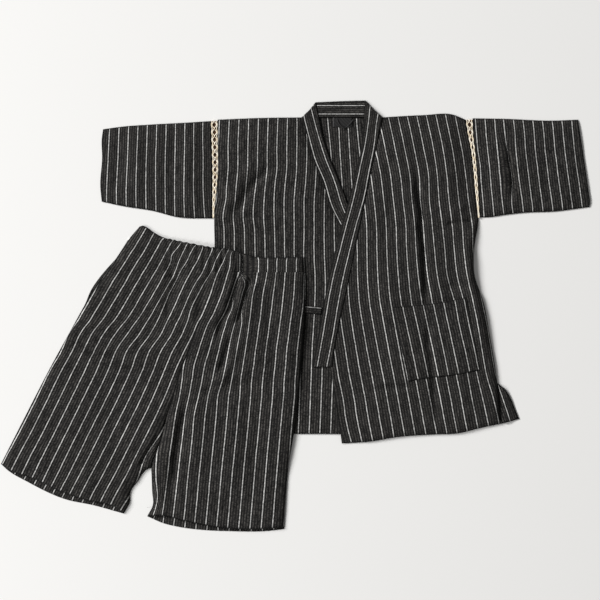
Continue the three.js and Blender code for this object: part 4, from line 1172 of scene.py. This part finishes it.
RIGHT_INNER = np.vstack([CENTRE_SEAM, RIGHT_INSEAM[1:]])
LEFT_INNER = np.vstack([CENTRE_SEAM, LEFT_INSEAM[1:]])
LEFT_BACK_OUT = np.vstack([LEFT_OUTSEAM[:-1], LEFT_BACK_HEM[-1:]])
leg("right_leg_back", "shorts_right_back",
    {"top": RIGHT_WAIST, "bottom": RIGHT_BACK_HEM, "left": RIGHT_BACK_OUT, "right": RIGHT_INNER},
    RIGHT_LEG_STRIPES, 0, shorts_back_top, shift=11.0)
leg("left_leg_back", "shorts_left_back",
    {"top": LEFT_WAIST, "bottom": LEFT_BACK_HEM, "left": LEFT_INNER, "right": LEFT_BACK_OUT},
    LEFT_LEG_STRIPES, FIRST_LEFT_STRIPE, shorts_back_top, shift=3.5)
leg("right_leg_front", "shorts_right_front",
    {"top": RIGHT_WAIST, "bottom": RIGHT_HEM, "left": RIGHT_OUTSEAM, "right": RIGHT_INNER},
    RIGHT_LEG_STRIPES, 0, shorts_top)
leg("left_leg_front", "shorts_left_front",
    {"top": LEFT_WAIST, "bottom": LEFT_HEM, "left": LEFT_INNER, "right": LEFT_OUTSEAM},
    LEFT_LEG_STRIPES, FIRST_LEFT_STRIPE, shorts_top)

# %% [markdown]
# The waist is a casing, a tube of cloth that an elastic draws together. Real gathers could be made by
# shrinking a longer tube, but waves drawn at the elastic's pitch can be put where the picture has them.

# %% Gathered waist casing
FRILL_SWAY = 7
EDGE_WAVE = 1.8
STRAIGHT_FROM_X = -130
STRAIGHT_Y = 120

x, y = spread(WAIST_TOP, CASING_SEAM, WAIST_LEFT_END, WAIST_RIGHT_END, cell=2.4)
floor = shorts_floor(x, y) + FLOOR_GAP
at_waist = gap_to(x, y, WAIST_TOP)
top = shorts_top(x, y)
frill = gathers(x, y) * (1 - soft(at_waist, 3, 8))
# From the folded cloth on the stripes run straight down the casing, so low down they are read higher up
held_y = np.where(x > STRAIGHT_FROM_X, np.maximum(y, STRAIGHT_Y), y)
count = stripe_count(WAIST_STRIPES, x + FRILL_SWAY * frill * hills(x, y, 13, 21), held_y)
# The gathers also make waves in the upper edge
near_edge = 1 - soft(at_waist, 0, 12)
y = y + EDGE_WAVE * (gathers(x, y) - 0.4) * soft(x, -300, -280) * (1 - soft(x, -90, -75)) * near_edge
casing_weave = woven(count, x, y, WAIST_TOP).reshape(*x.shape, 4).transpose(1, 0, 2).reshape(-1, 4)
casing = tube("waist_casing", x.T, y.T, top.T, floor.T, casing_weave)
casing.data.flip_normals()
finished(casing, COTTON, ["waistband"])

# %% [markdown]
# Cream lace is let in between each sleeve and the body. It is crocheted cord: two cords cross again and
# again down the middle and make rings, and a wavy cord borders each side. A flat strip with a pattern of
# holes could stand for it, but real cords are swept here, so that the crossings pass over and under.

# %% Sweeping round cords
def cords(name, paths, radius, sides=7):
    """One mesh of round cords, each swept along its path of points in millimetres."""
    points, faces = [], []
    for path in paths:
        path = np.asarray(path, float)
        along = np.gradient(path, axis=0)
        along /= np.linalg.norm(along, axis=1)[:, None]
        side = np.cross(along, [0, 0, 1])
        side /= np.maximum(np.linalg.norm(side, axis=1)[:, None], 1e-6)
        above = np.cross(side, along)
        turn = np.arange(sides) * TURN / sides
        ring = np.cos(turn)[None, :, None] * side[:, None] + np.sin(turn)[None, :, None] * above[:, None]
        start = len(points)
        points.extend((path[:, None] + radius * ring).reshape(-1, 3))
        for i in range(len(path) - 1):
            for j in range(sides):
                a, b = start + i * sides + j, start + i * sides + (j + 1) % sides
                faces.append((b, a, a + sides, b + sides))
        faces.append(tuple(range(start, start + sides)))
        faces.append(tuple(range(len(points) - 1, len(points) - 1 - sides, -1)))
    return as_object(name, points, faces)


# %% Lace insertions
LACE_REPEAT = 16.5
LACE_CORD = 0.95
LACE_BOTTOM = 216
LACE_HEIGHT = 3.3
LACE_SWAY = 0.6
LACE_BACK_TOP = 1.0
LACE_BACK_THICK = 0.5
LACE_STEP = 1.1
BACK_STEP = 3.0


def lace_paths(left, right, top_y):
    """The cords of a strip: two that cross over and under and make rings, and a wavy border on each side."""
    y = np.arange(top_y, LACE_BOTTOM, -LACE_STEP)
    low, high = at_height(left, y), at_height(right, y)
    middle, half = (low + high) / 2, np.maximum((high - low) / 2 - LACE_CORD, 1.1)
    phase = math.pi * y / LACE_REPEAT
    swing = np.sin(phase) * np.abs(np.sin(phase)) ** 0.6
    paths = []
    for sign in (1, -1):
        border = sign * half * (0.74 + 0.26 * np.abs(swing))
        paths.append(np.column_stack([middle + border, y, LACE_HEIGHT + 0 * y]))
        crossing = LACE_HEIGHT + sign * LACE_SWAY * np.cos(phase)
        paths.append(np.column_stack([middle + sign * 0.78 * half * swing, y, crossing]))
    return paths


for side, left, right, top_y in (
    ("right", RIGHT_SLEEVE["right"], RIGHT_SIDE, 429), ("left", LEFT_SIDE, LEFT_SLEEVE["left"], 432),
):
    strip = cords(f"{side}_lace", lace_paths(left, right, top_y), LACE_CORD)
    finished(strip, LACE, [f"lace_{side}_front"])
    print(strip.name, "points:", len(strip.data.vertices))
    # The back layer is a plain flat tape in a brown of painted shade, for the cream lace lying in shade below
    down = np.arange(top_y, LACE_BOTTOM, -BACK_STEP)[:, None]
    x = at_height(left, down) + (at_height(right, down) - at_height(left, down)) * np.linspace(0, 1, 6)
    y = down + 0 * x
    back_top, back_weave = LACE_BACK_TOP + 0 * x, woven(0 * x, x, y)
    back_layer = shell(f"{side}_lace_back", x, y, back_top, back_weave, LACE_BACK_THICK)
    finished(back_layer, PAINTED_SHADE_LACE, [f"lace_{side}_back"])

# %% [markdown]
# Inside the neck a bare black ribbon label is sewn to the back, and a black cord loop hangs over it for a
# hook. The loop is swept along its own curve, as the lace's cords are.

# %% Neck label and hanger loop
LABEL_LEFT, LABEL_RIGHT = 82.5, 124.5
LABEL_BOTTOM, LABEL_TOP = 415.5, 436.5
LABEL_REST = 2.0
RIBBON_THICK = 0.6
LOOP_TOP = 3.9
LOOP_DIP = 0.8
LOOP_RADIUS = 1.0

label_hem = drawn((LABEL_LEFT, LABEL_BOTTOM), (LABEL_RIGHT, LABEL_BOTTOM))
x, y = spread(drawn((LABEL_LEFT, LABEL_TOP), (LABEL_RIGHT, LABEL_TOP)), label_hem,
              drawn((LABEL_LEFT, LABEL_TOP), (LABEL_LEFT, LABEL_BOTTOM)),
              drawn((LABEL_RIGHT, LABEL_TOP), (LABEL_RIGHT, LABEL_BOTTOM)), cell=2)
top = LABEL_REST + 0.5 * rolled(gap_to(x, y, label_hem), 5) + 0.1 * crinkle(x, y, 2)
label = shell("ribbon_label", x, y, top, woven(0 * x, x, y), RIBBON_THICK)
finished(label, RIBBON, ["neck_label"])

LOOP = drawn((91, 434), (96, 423), (107, 414), (119, 422), (128, 434), step=2)
loop_path = np.column_stack([LOOP, LOOP_TOP - LOOP_DIP * soft(428 - LOOP[:, 1], 0, 14)])
finished(cords("cord_loop", [loop_path], LOOP_RADIUS, sides=9), CORD, ["hanger_loop"])
print("length of the loop:", round(lengths_along(LOOP)[-1]), "mm")

# %% [markdown]
# Stitching. A lockstitch shows on top as a row of short dashes, about eight to the inch. It could be
# painted on, but each stitch here is a small spindle of thread, bedded into the cloth, set in rows along
# the hems, the pocket and the fly. Five long ones close the foot of the fly as a bar-tack.

# %% Rows of stitches
STITCH = 3.1
STITCH_LENGTH = 2.5
STITCH_THICK = 0.42
STITCH_LIFT = 0.12
spindles = []


def stitch_row(line, heights, inwards=0.0):
    """Adds a row of stitches beside a line, inwards to its left, on the surface given by heights."""
    run = lengths_along(line)
    at = np.arange(STITCH, run[-1] - STITCH, STITCH)
    spots = np.column_stack([np.interp(at, run, line[:, k]) for k in (0, 1)])
    along = np.gradient(spots, axis=0)
    along /= np.hypot(*along.T)[:, None]
    spots = spots + inwards * np.column_stack([-along[:, 1], along[:, 0]])
    flat_ends = [spots + along * STITCH_LENGTH * k for k in (-0.5, 0.5)]
    spindles.append([np.column_stack([ends, heights(*ends.T) + STITCH_LIFT]) for ends in flat_ends])


def pocket_top(x, y):
    """The pocket's own surface, near enough for its stitches."""
    return over_top(x, y) + CLOTH + 0.9


# %% Where the rows run
HEM = 20
SLEEVE_HEM = 22
SLIT_HEM = 8
POCKET_HEM = 22
EDGE_ROW = 2
FLY_ROWS = (3, 9)
FLY = CENTRE_SEAM[:26]
SLIT_EDGE = LEFT_SIDE[LEFT_SIDE[:, 1] < -147]
OPEN_UNDER_HEM = UNDER_HEM[UNDER_HEM[:, 0] > -20]
stitch_row(RIGHT_SLEEVE["left"], lambda x, y: sleeve_top(x, y, RIGHT_SLEEVE), SLEEVE_HEM)
stitch_row(LEFT_SLEEVE["right"], lambda x, y: sleeve_top(x, y, LEFT_SLEEVE), -SLEEVE_HEM)
stitch_row(OVER_HEM, over_top, HEM)
stitch_row(SLIT_EDGE, over_top, -SLIT_HEM)
stitch_row(OPEN_UNDER_HEM, under_top, HEM)
for edge, side in (("left", EDGE_ROW), ("right", -EDGE_ROW), ("bottom", EDGE_ROW), ("top", -POCKET_HEM)):
    stitch_row(POCKET[edge], pocket_top, side)
stitch_row(RIGHT_HEM, shorts_top, HEM)
stitch_row(LEFT_HEM, shorts_top, HEM)
for beside in FLY_ROWS:
    stitch_row(FLY, shorts_top, beside)

BAR_TACK_ENDS = np.array([[-236.0, -79.0], [-229.0, -87.0]])
BAR_TACK_STEP = np.array([1.1, 1.0])
BAR_TACK_STITCHES = 5
BAR_TACK_LIFT = 0.3
for k in range(BAR_TACK_STITCHES):
    ends = [end + k * BAR_TACK_STEP for end in BAR_TACK_ENDS]
    spindles.append([np.append(end, shorts_top(*end) + BAR_TACK_LIFT)[None] for end in ends])
print("rows of stitches:", len(spindles) - BAR_TACK_STITCHES)

# %% Thread spindles, all in one mesh
def stitches(name, rows):
    """One mesh of thread spindles, each from a start to an end."""
    start, end = (np.vstack([row[k] for row in rows]) for k in (0, 1))
    middle, along = (start + end) / 2, (end - start) / np.linalg.norm(end - start, axis=1)[:, None]
    side = np.cross(along, [0, 0, 1]) * STITCH_THICK
    above = np.cross(side, along)
    points = np.stack([start, middle + side, middle + above, middle - side, middle - above, end], axis=1)
    pattern = [(0, 2, 1), (0, 3, 2), (0, 4, 3), (0, 1, 4), (5, 1, 2), (5, 2, 3), (5, 3, 4), (5, 4, 1)]
    faces = (np.arange(len(start))[:, None, None] * 6 + np.array(pattern)[None]).reshape(-1, 3)
    print(name, "stitches:", len(start))
    return as_object(name, points.reshape(-1, 3), faces)


finished(stitches("topstitching", spindles), THREAD)

# %% [markdown]
# The table is a plain pale sheet of paper that runs out of the picture. One very large soft light stands
# far off on the upper left, and a smaller, weak one lower and nearer on the lower left. Pale surroundings
# fill the shadows, as in a studio with white walls. A sun would be simpler, but its shadows have hard
# edges. The table and the lights are given in metres.

# %% Table and light
FLOOR_SIZE = 12.0
PAPER_WHITE = "#F4F3F1"

floor_mesh = bpy.data.meshes.new("table")
reach = FLOOR_SIZE / 2
floor_mesh.from_pydata([(-reach, -reach, 0), (reach, -reach, 0), (reach, reach, 0), (-reach, reach, 0)],
                       [], [(0, 1, 2, 3)])
table = bpy.data.objects.new("table", floor_mesh)
bpy.context.scene.collection.objects.link(table)
paper, paper_tree = new_material("matt_white_paper")
paper_shader = add_node(paper_tree, "ShaderNodeBsdfPrincipled",
                        {"Base Color": linear(PAPER_WHITE), "Roughness": 0.9, "Specular IOR Level": 0.2})
add_node(paper_tree, "ShaderNodeOutputMaterial", links={0: paper_shader.outputs[0]})
floor_mesh.materials.append(paper)

# %% Two lights and the pale walls
def soft_light(name, place, size, power):
    """A square soft box that faces the middle of the set."""
    light = bpy.data.objects.new(name, bpy.data.lights.new(name, "AREA"))
    bpy.context.scene.collection.objects.link(light)
    light.data.shape = "SQUARE"
    light.data.size = size
    light.data.energy = power
    light.location = place
    tilt, turn = math.atan2(math.hypot(place[0], place[1]), place[2]), math.atan2(place[1], place[0])
    light.rotation_euler = (tilt, 0, turn + math.pi / 2)


WALL_WHITE = "#FBFBFA"
FILL = 0.2
soft_light("soft_key", place=(-13.0, 7.4, 8.0), size=5.0, power=3450.0)
soft_light("low_side_light", place=(-5.2, -2.4, 4.2), size=2.5, power=180.0)
world = bpy.data.worlds.new("studio")
bpy.context.scene.world = world
world.use_nodes = True
world.node_tree.nodes["Background"].inputs[0].default_value = linear(WALL_WHITE)
world.node_tree.nodes["Background"].inputs[1].default_value = FILL
bpy.context.scene.view_settings.view_transform = "Standard"
